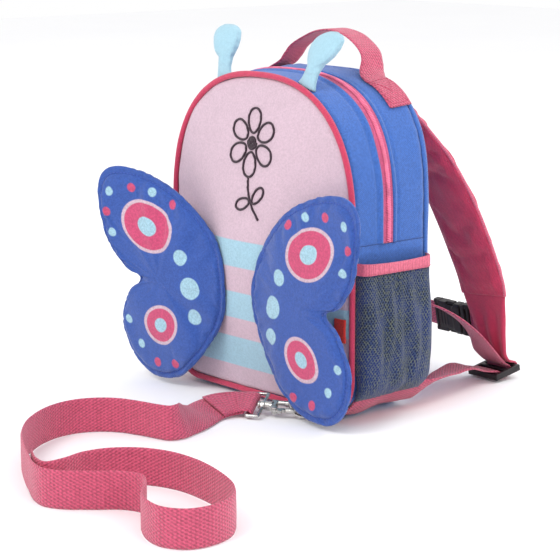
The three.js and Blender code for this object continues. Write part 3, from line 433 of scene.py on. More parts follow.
class Material:
    def __init__(self, name):
        self.made = bpy.data.materials.new(name)
        self.made.use_nodes = True
        self.nodes = self.made.node_tree.nodes
        self.links = self.made.node_tree.links
        self.shader = self.nodes["Principled BSDF"]

    def put(self, socket, value):
        if isinstance(value, bpy.types.NodeSocket):
            self.links.new(value, socket)
        else:
            socket.default_value = value[:3] if getattr(socket, "type", "") == "VECTOR" else value

    def node(self, kind, values=(), **settings):
        n = self.nodes.new(kind)
        for key, value in settings.items():
            setattr(n, key, value)
        for key, value in dict(values).items():
            self.put(n.inputs[key], value)
        return n

    def math(self, operation, a, b=0.0, c=0.0):
        n = self.node("ShaderNodeMath", operation=operation)
        for socket, value in zip(n.inputs, (a, b, c)):
            self.put(socket, value)
        return n.outputs[0]

    def add(self, a, b):
        return self.math("ADD", a, b)

    def sub(self, a, b):
        return self.math("SUBTRACT", a, b)

    def mul(self, a, b):
        return self.math("MULTIPLY", a, b)

    def mad(self, a, b, c):
        return self.math("MULTIPLY_ADD", a, b, c)

    def mix(self, share, a, b):
        n = self.node("ShaderNodeMix", data_type="RGBA")
        self.put(n.inputs[0], share)
        self.put(n.inputs[6], a)
        self.put(n.inputs[7], b)
        return n.outputs[2]

    def spread(self, value, low, high):
        """0 below low, 1 above high, smooth between."""
        return self.node("ShaderNodeMapRange", {"Value": value, "From Min": low, "From Max": high},
                         interpolation_type="SMOOTHSTEP").outputs[0]

    def shaded(self, colour, shade):
        return self.node("ShaderNodeVectorMath", {0: colour, "Scale": shade}, operation="SCALE").outputs[0]

    def uv(self):
        if not hasattr(self, "_uv"):
            n = self.node("ShaderNodeUVMap", uv_map="UVMap")
            split = self.node("ShaderNodeSeparateXYZ", {0: n.outputs[0]})
            self._uv = (split.outputs[0], split.outputs[1])
        return self._uv

    def place(self):
        if not hasattr(self, "_place"):
            self._place = self.node("ShaderNodeTexCoord").outputs["Object"]
        return self._place

    def noise(self, size, detail=3.0, rough=0.55):
        """Noise of a size in millimetres, from 0 to 1."""
        return self.node("ShaderNodeTexNoise", {"Vector": self.place(), "Scale": 1000.0 / size,
                                                "Detail": detail, "Roughness": rough}).outputs[0]

    def wave(self, value, pitch):
        return self.math("SINE", self.mul(value, TAU / pitch))

    def disc(self, cx, cy, rx, ry=None, turn=0.0):
        """Distance from an ellipse's middle in shares of its radii, on the cloth."""
        u, v = self.uv()
        du, dv = self.sub(u, cx), self.sub(v, cy)
        co, si = math.cos(turn), math.sin(turn)
        a = self.add(self.mul(du, co), self.mul(dv, si))
        b = self.sub(self.mul(dv, co), self.mul(du, si))
        a, b = self.math("DIVIDE", a, rx), self.math("DIVIDE", b, ry or rx)
        return self.math("SQRT", self.add(self.mul(a, a), self.mul(b, b)))

    def bump(self, height, distance, strength=1.0, under=None):
        values = {"Height": height, "Distance": distance * MM, "Strength": strength}
        if under is not None:
            values["Normal"] = under
        return self.node("ShaderNodeBump", values).outputs[0]

    def finish(self, colour, rough, normal, sheen=0.0, metallic=0.0, coat=0.0):
        s = self.shader.inputs
        self.put(s["Base Color"], colour)
        self.put(s["Roughness"], rough)
        self.put(s["Normal"], normal)
        s["Metallic"].default_value = metallic
        s["Sheen Weight"].default_value = sheen
        s["Sheen Roughness"].default_value = 0.5
        s["Coat Weight"].default_value = coat
        s["Specular IOR Level"].default_value = 0.3 if not metallic else 0.5
        return self.made


def weave(m, kind, pitch):
    """Height of the threads, 0 to 1, from the cloth's own directions in millimetres."""
    u, v = m.uv()
    if kind == "plain":
        h = m.mul(m.wave(u, pitch), m.wave(v, pitch))
    elif kind == "twill":
        h = m.wave(m.add(u, m.mul(v, 0.8)), pitch)
        h = m.mad(m.wave(m.sub(u, v), pitch * 0.9), 0.45, h)
    elif kind == "webbing":
        row = m.wave(v, pitch * 1.15)
        shifted = m.add(u, m.mul(v, 0.55))
        h = m.mad(row, 0.55, m.wave(shifted, pitch))
        h = m.mad(m.wave(m.sub(u, m.mul(v, 0.55)), pitch), 0.5, h)
    else:
        h = m.wave(v, pitch)
    return m.spread(h, -1.3, 1.3)


def cloth(name, colour, kind="plain", pitch=1.3, depth=0.16, print_on=None, sheen=0.25,
          rough=0.82, contrast=0.2, mottle=0.1, melange=0.3):
    """A woven cloth: thread relief, painted shade in the gaps between threads and a painted highlight on their
    high spots, and soft colour drift.
    """
    m = Material(name)
    base = colour if print_on is None else print_on(m, colour)
    h = weave(m, kind, pitch)
    fuzz = m.noise(1.5, 3.0, 0.75)
    drift = m.noise(38, 2.0)
    streak = m.noise(7, 3.0)
    # Painted shade and highlight: the weave's height darkens the gaps between threads and lightens their tops;
    # drift, streak and fuzz below are random tone.
    shade = m.mad(h, contrast, 1 - contrast * 0.7)
    shade = m.add(shade, m.mad(drift, mottle, -mottle / 2))
    shade = m.add(shade, m.mad(streak, mottle * 0.7, -mottle * 0.35))
    shade = m.add(shade, m.mad(m.spread(fuzz, 0.34, 0.66), melange, -melange / 2))
    relief_shaded_colour = m.shaded(base, shade)
    relief = m.mad(fuzz, 0.9, h)
    normal = m.bump(relief, depth)
    soft = m.bump(m.noise(16, 3.0), 0.9, 0.5, normal)
    roughness = m.mad(drift, 0.12, rough - 0.06)
    return m.finish(relief_shaded_colour, roughness, soft, sheen)


BLUE = rgb(60, 103, 180)
WING_BLUE = rgb(50, 84, 162)
PINK = rgb(198, 81, 111)
CORAL = rgb(212, 106, 130)
PALE = rgb(201, 176, 189)
LIGHT = rgb(158, 196, 212)
PATCH = rgb(196, 72, 112)
PLUM = rgb(52, 26, 44)


def stripes(m, base):
    """Light-blue bands over the lower part of the pale panel."""
    v = m.uv()[1]
    share = 0.0
    for low, high in ((24.0, 48.5), (64.0, 84.5), (103.5, 123.5)):
        edge = m.mul(m.spread(v, low - 0.5, low + 0.5), m.spread(v, high + 0.5, high - 0.5))
        share = m.add(share, edge)
    return m.mix(share, base, LIGHT)


def wing_print(m, base):
    """Round spots with pale rings in the lobes and a row of small dots."""
    colour = base
    spots = (
        (70, 122, 25, 19, 0.35, True), (62, 45, 19, 15, -0.5, True),
        (30, 78, 8.5, 8.5, 0, False), (38, 101, 6, 6, 0, False), (28, 56, 6, 6, 0, False),
    )
    for cx, cy, rx, ry, turn, large in spots:
        d = m.disc(cx, cy, rx, ry, turn)
        edge = 0.6 / rx
        colour = m.mix(m.spread(d, 1 + edge, 1 - edge), colour, PALE if large else LIGHT)
        if large:
            inner = 1 - 3.0 / rx
            colour = m.mix(m.spread(d, inner + edge, inner - edge), colour, PATCH)
            colour = m.mix(m.spread(d, 0.36 + edge, 0.36 - edge), colour, LIGHT)
    dots = ((104, 146), (108, 130), (104, 114), (84, 150), (64, 148), (46, 140),
            (88, 26), (72, 14), (98, 44), (52, 16))
    for i, (cx, cy) in enumerate(dots):
        d = m.disc(cx, cy, 3.4)
        colour = m.mix(m.spread(d, 1.2, 0.85), colour, PATCH if i % 2 else LIGHT)
    return colour


blue_cloth = cloth("blue_cloth", BLUE, pitch=1.5, depth=0.2)
wing_cloth = cloth("wing_cloth", WING_BLUE, pitch=1.3, depth=0.16, print_on=wing_print)
panel_cloth = cloth("panel_cloth", PALE, pitch=1.4, depth=0.16, print_on=stripes, contrast=0.12, melange=0.16)
pink_cloth = cloth("pink_cloth", rgb(198, 58, 92), "twill", pitch=1.5, depth=0.18, melange=0.2)
light_cloth = cloth("light_cloth", LIGHT, pitch=1.2, depth=0.12, contrast=0.1, melange=0.08, mottle=0.05)
coral_cloth = cloth("coral_cloth", CORAL, "rib", pitch=1.7, depth=0.2, sheen=0.15)
webbing = cloth("webbing", PINK, "webbing", pitch=2.3, depth=0.42, contrast=0.42, rough=0.7)
black_web = cloth("black_webbing", rgb(26, 22, 25), "webbing", pitch=1.8, depth=0.3, contrast=0.3)
red_tape = cloth("red_tape", rgb(214, 50, 42), "rib", pitch=0.9, depth=0.1)
tape_cloth = cloth("tape_cloth", rgb(204, 92, 132), "twill", pitch=1.1, depth=0.15)


def thread(name, colour):
    """Twisted sewing thread, with painted shade in the grooves of its twist."""
    m = Material(name)
    u, v = m.uv()
    twist = m.wave(m.add(v, m.mul(u, 1.4)), 0.55)
    # Painted shade: the colour darkens along the grooves of the twist.
    relief_shaded_colour = m.shaded(colour, m.mad(twist, 0.12, 0.9))
    return m.finish(relief_shaded_colour, 0.5, m.bump(twist, 0.05), 0.2)


plum_thread = thread("plum_thread", PLUM)
blue_thread = thread("blue_thread", rgb(52, 88, 190))
pink_thread = thread("pink_thread", rgb(222, 96, 130))


def net(name):
    """Knitted net: threads on two diagonals, blue with light grey-green flecks painted as highlights; between them
    dark blue painted as the bag seen in shade through the holes.
    """
    m = Material(name)
    u, v = m.uv()
    bend = m.mad(m.noise(22, 2.0), 5.0, -2.5)
    a = m.add(m.add(u, m.mul(v, 0.55)), bend)
    b = m.add(m.sub(m.mul(v, 0.75), u), bend)
    wa, wb = m.wave(a, 2.3), m.wave(b, 2.3)
    threads = m.spread(m.math("MAXIMUM", wa, wb), 0.3, 0.9)
    highlight_fleck = m.noise(1.7, 2.0)
    drift = m.noise(20, 3.0)
    # Painted shade: the bag's blue as seen through the holes, darkened, and darker still in blotches.
    hole_shade = m.mix(m.spread(drift, 0.35, 0.65), rgb(20, 36, 98), rgb(18, 28, 48))
    # Painted highlight: light grey-green flecks over the blue yarn.
    yarn = m.mix(m.spread(highlight_fleck, 0.4, 0.62), rgb(48, 68, 110), rgb(104, 112, 104))
    colour = m.mix(threads, hole_shade, yarn)
    normal = m.bump(threads, 0.35)
    return m.finish(colour, 0.75, m.bump(m.noise(9, 2.0), 0.8, 0.6, normal), 0.15)


def plastic(name, colour, rough=0.42):
    m = Material(name)
    grain = m.noise(0.7, 3.0)
    blot = m.noise(9, 3.0)
    tone = m.mix(m.spread(blot, 0.3, 0.7), colour, tuple(c * 1.5 + 0.004 for c in colour[:3]) + (1,))
    roughness = m.mad(blot, 0.18, rough - 0.08)
    return m.finish(tone, roughness, m.bump(grain, 0.03), coat=0.05)


def nickel(name):
    m = Material(name)
    blot = m.noise(3.5, 4.0)
    scratch = m.noise(0.6, 2.0)
    tone = m.mix(m.spread(blot, 0.3, 0.7), rgb(214, 212, 208), rgb(168, 166, 164))
    return m.finish(tone, m.mad(blot, 0.22, 0.14), m.bump(scratch, 0.015), metallic=1.0)


net_cloth = net("net")
black_plastic = plastic("black_plastic", rgb(30, 25, 28))
pink_plastic = plastic("pink_plastic", rgb(222, 118, 150), 0.5)
metal = nickel("nickel")

# The rein, made first
# Columns: x, y, height of the middle, degrees that the webbing leans from upright
LEASH = [
    (25.4, -69.9, 7.6, 70), (22.4, -72, 7.5, 70), (17.5, -78.5, 7.3, 67), (15, -88, 6.8, 66),
    (16.8, -99, 6.4, 66), (22.3, -110, 6.6, 64), (30.5, -123, 8.7, 52), (38.5, -136.5, 11.3, 32),
    (45.5, -148, 12.8, 12), (45, -156.5, 12.9, 2),
]
# From here on it stands on its edge: x, y
LEASH += [(x, y, 12.9, 0) for x, y in (
    (36, -160.5), (21, -164.5), (5, -171), (-6, -181), (-12, -194), (-12.5, -209), (-7, -226),
    (3.5, -243), (18, -259), (36, -273), (58, -286), (82, -298), (99, -305.5), (112, -307.5),
    (124, -302), (137, -288.5), (151, -273.5), (164, -269.5), (178, -278), (191, -290.5),
    (205, -297.5), (221, -299), (234, -291), (238.5, -275), (233, -256), (217, -240.5),
    (192, -230), (163, -224), (138, -224.5), (117, -233), (103, -249), (98.5, -268), (102, -286),
    (101, -298.5), (90, -298), (72, -289.3),
)]


def leash_stations():
    out = []
    for i, (x, y, z, lean) in enumerate(LEASH):
        ahead = LEASH[min(i + 1, len(LEASH) - 1)]
        behind = LEASH[max(i - 1, 0)]
        run = unit(np.array([ahead[0] - behind[0], ahead[1] - behind[1], 0.0]))
        right = np.array([run[1], -run[0], 0])
        a = math.radians(lean)
        out.append({"at": (x, y, z), "across": np.array([0, 0, math.cos(a)]) + right * math.sin(a)})
    return out


leash_course = course(leash_stations(), 8)
leash = band(leash_course, flat_section(13), wobble=0.25).done(
    "leash_webbing", webbing, "pink_webbing", "leash")

# The sewn end goes round the eye's bar and back over the rein
EYE = np.array([28.5, -68, 7.6])
EYE_BAR = 1.4
heading, roll = math.radians(32), math.radians(20)
HOOK_A = np.array([math.cos(heading), math.sin(heading), 0])
HOOK_B = np.array([-math.sin(heading) * math.cos(roll), math.cos(heading) * math.cos(roll), math.sin(roll)])
HOOK_C = np.cross(HOOK_A, HOOK_B)


def in_hook(a, b, c):
    return EYE + a * HOOK_A + b * HOOK_B + c * HOOK_C


def leash_fold():
    r = EYE_BAR + LIFT
    stations = [{"at": in_hook(r * math.cos(a), 0, r * math.sin(a)), "across": -HOOK_B}
                for a in (-2.4, -1.8, -1.2, -0.6, 0, 0.6, 1.2, 1.9)]
    run = leash_course["length"]
    for length in (3, 9, 15.5, 22, 28):
        k = int(np.argmin(np.abs(run - length)))
        n = leash_course["normal"][k]
        lie = leash_course["across"][k]
        up = math.copysign(1, n[2])
        stations.append({"at": leash_course["at"][k] + n * up * (WEB["thick"] + 0.45),
                         "across": lie * math.copysign(1, np.dot(lie, -HOOK_B))})
    return course(stations, 5)


fold_course = leash_fold()
band(fold_course, flat_section(13), wobble=0.2).done("leash_fold", webbing, "pink_webbing", "leash_fold")


STITCH = {"inset": 2.5, "lift": 0.15}


def across_rows(c, k, side):
    """A row of stitches across a strap at place k."""
    a = span(-0.5, 0.5, 9)[:, None]
    wide = c["wide"][k] - 2 * STITCH["inset"]
    lift = side * (c["thick"][k] / 2 + STITCH["lift"])
    p = c["at"][k] + a * wide * c["across"][k] + c["normal"][k] * lift
    return p, np.repeat((side * c["normal"][k])[None], 9, 0)


def along_rows(c, first, last, share, side):
    """A row of stitches along a strap at a share of its half width."""
    k = slice(first, last)
    lift = side * (c["thick"][k] / 2 + STITCH["lift"]) - c["cup"][k] * share**2
    p = c["at"][k] + c["across"][k] * (c["wide"][k] * share / 2)[:, None] + c["normal"][k] * lift[:, None]
    return p, side * c["normal"][k]


flap = len(fold_course["at"])
top_side = facing(fold_course["normal"][-8][2])
stitches("leash_stitches", [
    across_rows(fold_course, flap - 3, top_side), across_rows(fold_course, flap - 16, top_side),
    along_rows(fold_course, flap - 17, flap - 2, 0.82, top_side),
    along_rows(fold_course, flap - 17, flap - 2, -0.82, top_side),
], pink_thread, "pink_webbing", pitch=2.6, long=2.0)
stitches("loop_stitches", [
    across_rows(leash_course, len(leash_course["at"]) - k, side)
    for k in (4, 12, 15) for side in (1, -1)
], pink_thread, "pink_webbing", pitch=2.6, long=2.0)

# Bag
arch = [(1, p) for p in span(0, 1, 84)] + [(-1, p) for p in span(1, 0, 84)[1:]]


def arch_grid(shares, off):
    """Points over the arch; off gives the height over the outline at a share and a place."""
    return np.array([[on_bag(t, side, mix(side_share(t, SEAM + 0.15), 4, p), off(t, i))
                      for t in shares] for i, (side, p) in enumerate(arch)])


def cloth_uv(points):
    """Lengths along and across a grid as the cloth's own directions."""
    mid = points.shape[1] // 2
    long = lengths(points[:, mid])
    wide = lengths(points[len(points) // 2])
    return grid_uv(wide[None, :], long[:, None])


def crease(points, size, deep, seed):
    """Soft dents of a size and depth over a grid."""
    n = normals_of(points)
    move = np.array([[ripple(p, size, seed) for p in row] for row in points])
    return points + n * (move * deep)[:, :, None]


def gusset(name, t0, t1, zip_side, node):
    """One side of the zip: a fold beside the tape and a puckered seam at the other edge."""
    shares = span(t0, t1, 22)

    def off(t, i):
        from_zip = abs(t - zip_side) * DEPTH
        from_seam = abs(t - (t0 if zip_side == t1 else t1)) * DEPTH
        fold = 1.3 * bell(from_zip, 1.2, 1.5) - 0.8 * bell(from_zip, 4.6, 0.8)
        drop = -1.5 * bell(from_seam, 0, 1.6)
        pucker = 0.35 * math.sin(i * 1.05 + 1.3 * math.sin(i * 0.37)) * bell(from_seam, 4, 4)
        return fold + drop + pucker

    outer = arch_grid(shares, off)
    outer = crease(outer, 34, 0.8, 1.7)
    inner = arch_grid(shares, lambda t, i: -WALL)
    return slab(outer, inner, cloth_uv(outer)).done(name, blue_cloth, "blue_cloth", node)


tape_half = ZIP_TAPE / 2 / DEPTH
edge = (PIPING + GAP) / DEPTH
before, behind = ZIP - tape_half - 0.004, ZIP + tape_half + 0.004
gusset("front_gusset_cloth", edge, before, before, "front_gusset")
gusset("back_gusset_cloth", behind, 1 - edge, behind, "back_gusset")

tape_shares = span(ZIP - tape_half, ZIP + tape_half, 13)
tape = arch_grid(tape_shares, lambda t, i: -0.1 - 0.25 * math.cos((t - ZIP) * DEPTH * 2))
slab(tape, arch_grid(tape_shares, lambda t, i: -1.2),
     cloth_uv(tape)).done("zip_tape_cloth", tape_cloth, "pink_cloth", "zip_tape")


COIL = {"pitch": 1.25, "steps": 6, "high": 0.62, "wide": 1.7, "radius": 0.42}


def zip_coil():
    """Interlocked coil teeth along the middle of the zip tape."""
    line = arch_grid([ZIP], lambda t, i: 0.85)[:, 0]
    outward = unit(arch_grid([ZIP], lambda t, i: 1.85)[:, 0] - line)
    run = lengths(line)
    spots = span(1, run[-1] - 1, int(run[-1] / COIL["pitch"]) * COIL["steps"])
    c = np.stack([np.interp(spots, run, line[:, k]) for k in range(3)], 1)
    n = unit(np.stack([np.interp(spots, run, outward[:, k]) for k in range(3)], 1))
    phase = np.arange(len(spots)) / COIL["steps"] * TAU
    y = np.array([0, 1.0, 0])
    path = c + n * (COIL["high"] * np.cos(phase))[:, None] + y * (COIL["wide"] * np.sin(phase))[:, None]
    return tube(path, COIL["radius"], 6)


zip_coil().done("zip_teeth", pink_plastic, "zip_coil", "zip_coil")


def base_cloth():
    """The lower band: up both sides to the seam (p) and round the corners under the bag (s)."""
    rows = [(1, ("p", p)) for p in span(1, 0, 14)] + [(1, ("s", s)) for s in span(2, 0, 34)[1:]]
    rows += [(-1, r[1]) for r in rows[:-1][::-1]]
    shares = runs((edge, 0.12, 5), (0.15, 0.88, 20), (0.9, 1 - edge, 5))

    def spot(t, row, off):
        side, (kind, value) = row
        s = value if kind == "s" else mix(2, side_share(t, SEAM - 0.15), value)
        return on_bag(t, side, s, off)

    def off(t):
        d = min(t - edge, 1 - edge - t) * DEPTH
        return -1.3 * bell(d, 0, 1.5)

    outer = np.array([[spot(t, r, off(t)) for t in shares] for r in rows])
    moved = crease(outer, 26, 0.7, 4.2)
    flat = smooth((outer[:, :, 2:] - 1.5) / 5)
    outer = outer + (moved - outer) * flat
    inner = np.array([[spot(t, r, -WALL) for t in shares] for r in rows])
    return slab(outer, inner, cloth_uv(outer))


base_cloth().done("base_gusset_cloth", blue_cloth, "blue_cloth", "base_gusset")


def outline_row(t, off, dense=3):
    """Points all round the outline at depth t."""
    half = np.concatenate([span(0, 1, 5 * dense), span(1, 2, 7 * dense)[1:],
                           span(2, 3, 7 * dense)[1:], span(3, 4, 20 * dense)[1:]])
    row = [on_bag(t, 1, s, off) for s in half] + [on_bag(t, -1, s, off) for s in half[1:-1][::-1]]
    return np.array(row)


PANEL_MIDDLE = np.array([0, 0, 96.0])
BACK_MIDDLE = np.array([0, 0, 115.0])
PANEL_FACE = -DEPTH / 2 - 1.3
PANEL_WALL = 2.4
BULGE = {"deep": 17.8, "power": 1.36}


def fan(rim, middle, shares, depth):
    """A panel's grid from its rim in to its middle; depth gives y at a share of the way out."""
    points = middle + (rim - middle)[:, None] * np.array(shares)[None, :, None]
    points[:, :, 1] = [depth(share) for share in shares]
    return points


def bulge(share):
    return BULGE["deep"] * np.maximum(1 - share**2, 0) ** BULGE["power"]


def front_panel():
    rim = outline_row(0, -PIPING - GAP)
    shares = np.concatenate([[1, 0.99, 0.975, 0.955], span(0.93, 0, 30)])
    points = fan(rim, PANEL_MIDDLE, shares, lambda share: PANEL_FACE - bulge(share))
    arc = lengths(rim)
    n = normals_of(points, True)
    n[:, -1] = [0, -1, 0]
    if n[0, 5, 1] > 0:
        n = -n
    move = np.zeros(points.shape[:2])
    for i in range(len(rim)):
        pucker = math.sin(arc[i] / 6.2 + 1.8 * math.sin(arc[i] / 17))
        for j, share in enumerate(shares):
            p = points[i, j]
            seam = -1.3 * bell(share, 1, 0.016)
            fold = 0.5 * pucker * bell(share, 0.95, 0.05)
            move[i, j] = seam + fold + 0.9 * ripple(p, 42, 2.0) + 0.35 * ripple(p, 15, 5.0)
    points = points + n * move[:, :, None]
    uv = np.stack([points[:, :, 0], points[:, :, 2]], 2)
    uv = np.concatenate([uv, uv[:1]])
    inner = points.copy()
    inner[:, :, 1] += PANEL_WALL
    return slab(points, inner, uv, True), points


panel_build, panel_points = front_panel()
panel_build.done("front_panel_cloth", panel_cloth, "pale_pink_cloth", "front_panel")
flat_panel = panel_points.reshape(-1, 3)


def panel_at(x, z):
    """The panel's outer surface at a place in front view."""
    d = (flat_panel[:, 0] - x) ** 2 + (flat_panel[:, 2] - z) ** 2
    near = np.argsort(d)[:4]
    w = 1 / (d[near] + 0.3)
    return float(np.sum(flat_panel[near, 1] * w) / np.sum(w))


def piping_highlight():
    centres = outline_row(0, 0)
    outward = unit(outline_row(0, 1) - centres)
    swell = np.array([PIPING + 0.12 * ripple(c, 9, 6.0) for c in centres])
    return tube(centres, swell, 14, True, outward)


piping_highlight().done("piping_cord", pink_cloth, "pink_cloth", "front_piping")


def back_panel():
    rim = outline_row(1, -0.5, 2)
    shares = np.concatenate([[1, 0.985, 0.96], span(0.93, 0, 22)])
    outer = fan(rim, BACK_MIDDLE, shares,
                lambda share: DEPTH / 2 + WALL + 1.6 * (1 - share**8) - 0.8 * bell(share, 0.93, 0.02))
    for row in outer:
        for p in row:
            p[1] += 0.5 * ripple(p, 30, 8.0) - 0.35
    inner = outer.copy()
    inner[:, :, 1] = DEPTH / 2 - WALL
    uv = np.stack([outer[:, :, 0], outer[:, :, 2]], 2)
    return slab(outer, inner, np.concatenate([uv, uv[:1]]), True)


back_panel().done("back_panel_cloth", blue_cloth, "blue_cloth", "back_panel")

# Embroidered flower
def on_panel(points, lift):
    return np.array([[x, panel_at(x, z) - lift, z] for x, z in points])


def satin(name, paths, radius, material):
    """Raised embroidery along lines on the front panel."""
    b = Build()
    for path in paths:
        c = on_panel(path, radius * 0.25)
        closed = np.hypot(*(np.array(path[0]) - path[-1])) < 1.5
        b.add(tube(c[:-1] if closed else c, radius, 8, closed))
    b.done(name, material, "pale_pink_cloth")


def petal(cx, cz, turn, long, wide, start=7.0):
    """A petal's outline, turned about the flower's middle."""
    a = span(0, TAU, 40)
    r = start + long * (1 - np.cos(a)) / 2
    s = wide / 2 * np.sin(a) * (0.75 + 0.25 * (1 - np.cos(a)) / 2)
    x = r * math.cos(turn) - s * math.sin(turn)
    z = r * math.sin(turn) + s * math.cos(turn)
    return list(zip(cx + x, cz + z))


flower = (2.0, 196.0)
petals = [petal(*flower, math.radians(90 + 60 * k), 18, 15) for k in range(6)]
heart = [(flower[0] + r * math.cos(a), flower[1] + r * math.sin(a))
         for a, r in zip(span(0, 3 * TAU, 70), span(0.6, 5, 70))]
stem = [tuple(p) for p in curve([(2, 170.5), (4, 160), (9, 150), (17, 141)], span(0, 1, 24))]
leaves = [petal(6.5, 154, math.radians(200), 15, 9, 1), petal(8.5, 152, math.radians(48), 15, 9, 1)]
satin("flower_lines", petals + [heart, stem] + leaves, 0.95, plum_thread)

# Label tab
def label_tab():
    x1 = HALF_WIDTH[0] - PIPING - 1.2
    cols, rows = span(x1 - 10, x1, 9), span(61, 78, 12)
    low = min(panel_at(x, z) for x in cols for z in rows)
    outer = np.array([[[x, mix(panel_at(x, z), low, 0.5) - 1.8 - 0.25 * math.sin((z - 61) / 5), z]
                       for z in rows] for x in cols])
    inner = outer + [0, 1.1, 0]
    return slab(outer, inner, np.stack([outer[:, :, 2], outer[:, :, 0]], 2))


label_tab().done("label_tab_tape", red_tape, "red_tab", "label_tab")

# Grab handle
# Columns of the arc: shares of the half width, of the rise and of the lean
HANDLE = {"wide": 20.0, "rise": 274.3, "lean": 14.6, "share": 0.86, "foot": (3.487, 3.545, 3.605, 3.665)}
HANDLE_ARC = [(0.474, 0.17, 0.42), (0.438, 0.33, 0.64), (0.398, 0.52, 0.76), (0.327, 0.69, 0.86),
              (0.188, 0.9, 0.96), (0, 1, 1)]


def grab_handle():
    """The handle's course: sewn on the dome's shoulders, free and leaning back between."""
    half_band = HANDLE["wide"] / 2 / DEPTH
    sewn = []
    for s in HANDLE["foot"]:
        fore, aft = (on_bag(HANDLE["share"] + side * half_band, 1, s, LIFT) for side in (-1, 1))
        sewn.append({"at": (fore + aft) / 2, "across": unit(aft - fore)})
    foot = sewn[-1]["at"]
    free = [{"at": np.array([out * HALF_WIDTH[0], foot[1] + HANDLE["lean"] * back,
                             mix(foot[2], HANDLE["rise"], up)]),
             "across": np.array([0, 1.0, 0])} for out, up, back in HANDLE_ARC]
    half = sewn + free
    flip = np.array([-1, 1, 1])
    other = [{"at": s["at"] * flip, "across": s["across"] * flip} for s in half[:-1][::-1]]
    return course([dict(s, wide=HANDLE["wide"]) for s in half + other], 8)


handle = grab_handle()
band(handle, flat_section(13), wobble=0.3).done("grab_handle_webbing", webbing, "pink_webbing", "grab_handle")
ends = len(handle["at"])
outside = facing(handle["normal"][ends // 2][2])
rows = []
for first, last in ((1, 22), (ends - 22, ends - 1)):
    for share in (0.8, -0.8):
        rows.append(along_rows(handle, first, last, share, outside))
    for k in (first + 1, last - 2):
        rows.append(across_rows(handle, k, outside))
    k0, k1 = first + 1, last - 2
    for a, b in ((0.8, -0.8), (-0.8, 0.8)):
        share = span(a, b, k1 - k0)[:, None] / 2
        k = slice(k0, k1)
        p = handle["at"][k] + handle["across"][k] * handle["wide"][k][:, None] * share \
            + handle["normal"][k] * outside * 0.95
        rows.append((p, handle["normal"][k] * outside))
stitches("handle_stitches", rows, pink_thread, "pink_webbing", pitch=2.8, long=2.1)

# Antennae
# Columns: share of the height, half width, half thickness
ANTENNA_AT = {"out": 46.0, "high": 38.5, "back": 17, "lift": 0.9, "pinned": 249}
ANTENNA = [(0.0, 8.8, 2.4), (0.2, 6.9, 3.0), (0.38, 7.6, 3.9), (0.52, 11.4, 5.4), (0.68, 14.2, 6.4),
           (0.83, 14.0, 6.2), (0.94, 10.4, 4.8), (0.99, 4.6, 2.6), (1.0, 1.4, 1.0)]


def antenna(side, splay):
    """A flattened stalk with a round end and a seam at each side, leaning out by splay."""
    row = [on_bag(edge, 1, 3 + p) for p in span(0, 1, 201)]
    foot = min(row, key=lambda p: abs(p[0] - ANTENNA_AT["out"]))
    ups = np.concatenate([span(0, 0.94, 40), [0.96, 0.975, 0.99, 1.0]])
    wide = np.interp(ups, [a[0] for a in ANTENNA], [a[1] for a in ANTENNA])
    thick = np.interp(ups, [a[0] for a in ANTENNA], [a[2] for a in ANTENNA])
    for _ in range(3):
        wide[1:-3] = (wide[:-4] + 2 * wide[1:-3] + wide[2:-2]) / 4
        thick[1:-3] = (thick[:-4] + 2 * thick[1:-3] + thick[2:-2]) / 4
    angle = span(0, TAU, 33)
    rings = []
    for up, w, t in zip(ups, wide, thick):
        back = PIPING + 2 * GAP + ANTENNA[0][2] + ANTENNA_AT["back"] * up**1.3
        centre = np.array([foot[0] + splay * up, -DEPTH / 2 + back,
                           foot[2] + ANTENNA_AT["lift"] + ANTENNA_AT["high"] * up])
        tilt = 0.38 * (1 - up) ** 8
        seam = 1 - 0.10 * np.exp(-((np.abs(np.cos(angle)) - 1) / 0.02) ** 2)
        pucker = 1 + 0.02 * np.sin(up * 45 + 2 * np.sin(angle)) * np.abs(np.cos(angle)) ** 6
        p = centre + np.stack([w * np.cos(angle) * seam * pucker, t * np.sin(angle),
                               -w * np.cos(angle) * tilt], 1)
        rings.append(p * [side, 1, 1])
    points = np.array(rings)
    for r in points:
        for p in r[:-1]:
            p += 0.4 * ripple(p, 13, 9.0 + side)
        r[-1] = r[0]
    uv = grid_uv(angle[None] / TAU * 60, lengths(points[:, 0])[:, None])
    return Build().grid(points, uv).ends(points, uv)


for side, word, splay in ((1, "right", 9.5), (-1, "left", 14.5)):
    o = antenna(side, splay).done(f"antenna_{word}_cloth", light_cloth, "light_blue_cloth", f"antenna_{word}")
    puff(o, lambda p: (p[:, 2] < ANTENNA_AT["pinned"]).astype(float), 3.0, 10, 1.0, 0.04)

# Wings
WING = [(0.0, 0.46), (0.075, 0.69), (0.33, 0.885), (0.64, 0.985), (0.9, 0.995), (1.0, 0.9), (0.965, 0.68),
        (0.83, 0.535), (0.7, 0.483), (0.825, 0.395), (0.925, 0.235), (0.87, 0.075), (0.69, 0.0),
        (0.4, 0.045), (0.115, 0.245)]
SPAN, HIGH, PADDING = 117.0, 165.0, 3.7
WING_AT = {"inner": 16.5, "lift": 4.6, "plane": -59, "seat": 2.5, "sewn": 0.35}


def wing_surface(out, up, flare):
    """The wing's middle sheet: sewn to the panel at its inner edge, flaring forward outside."""
    turn = flare * out**1.3 * (1 - (1 - up) ** 2)
    x = WING_AT["inner"] + math.sqrt(max((out * SPAN) ** 2 - turn**2, 0))
    z = WING_AT["lift"] + up * HIGH
    share = min(math.hypot(x, z - PANEL_MIDDLE[2]) / 112, 1)
    held = PANEL_FACE - float(bulge(share)) - GAP - WING_AT["seat"]
    free = WING_AT["plane"] - turn
    return np.array([x, mix(min(held, free + 4), free, float(smooth(out / WING_AT["sewn"]))), z])


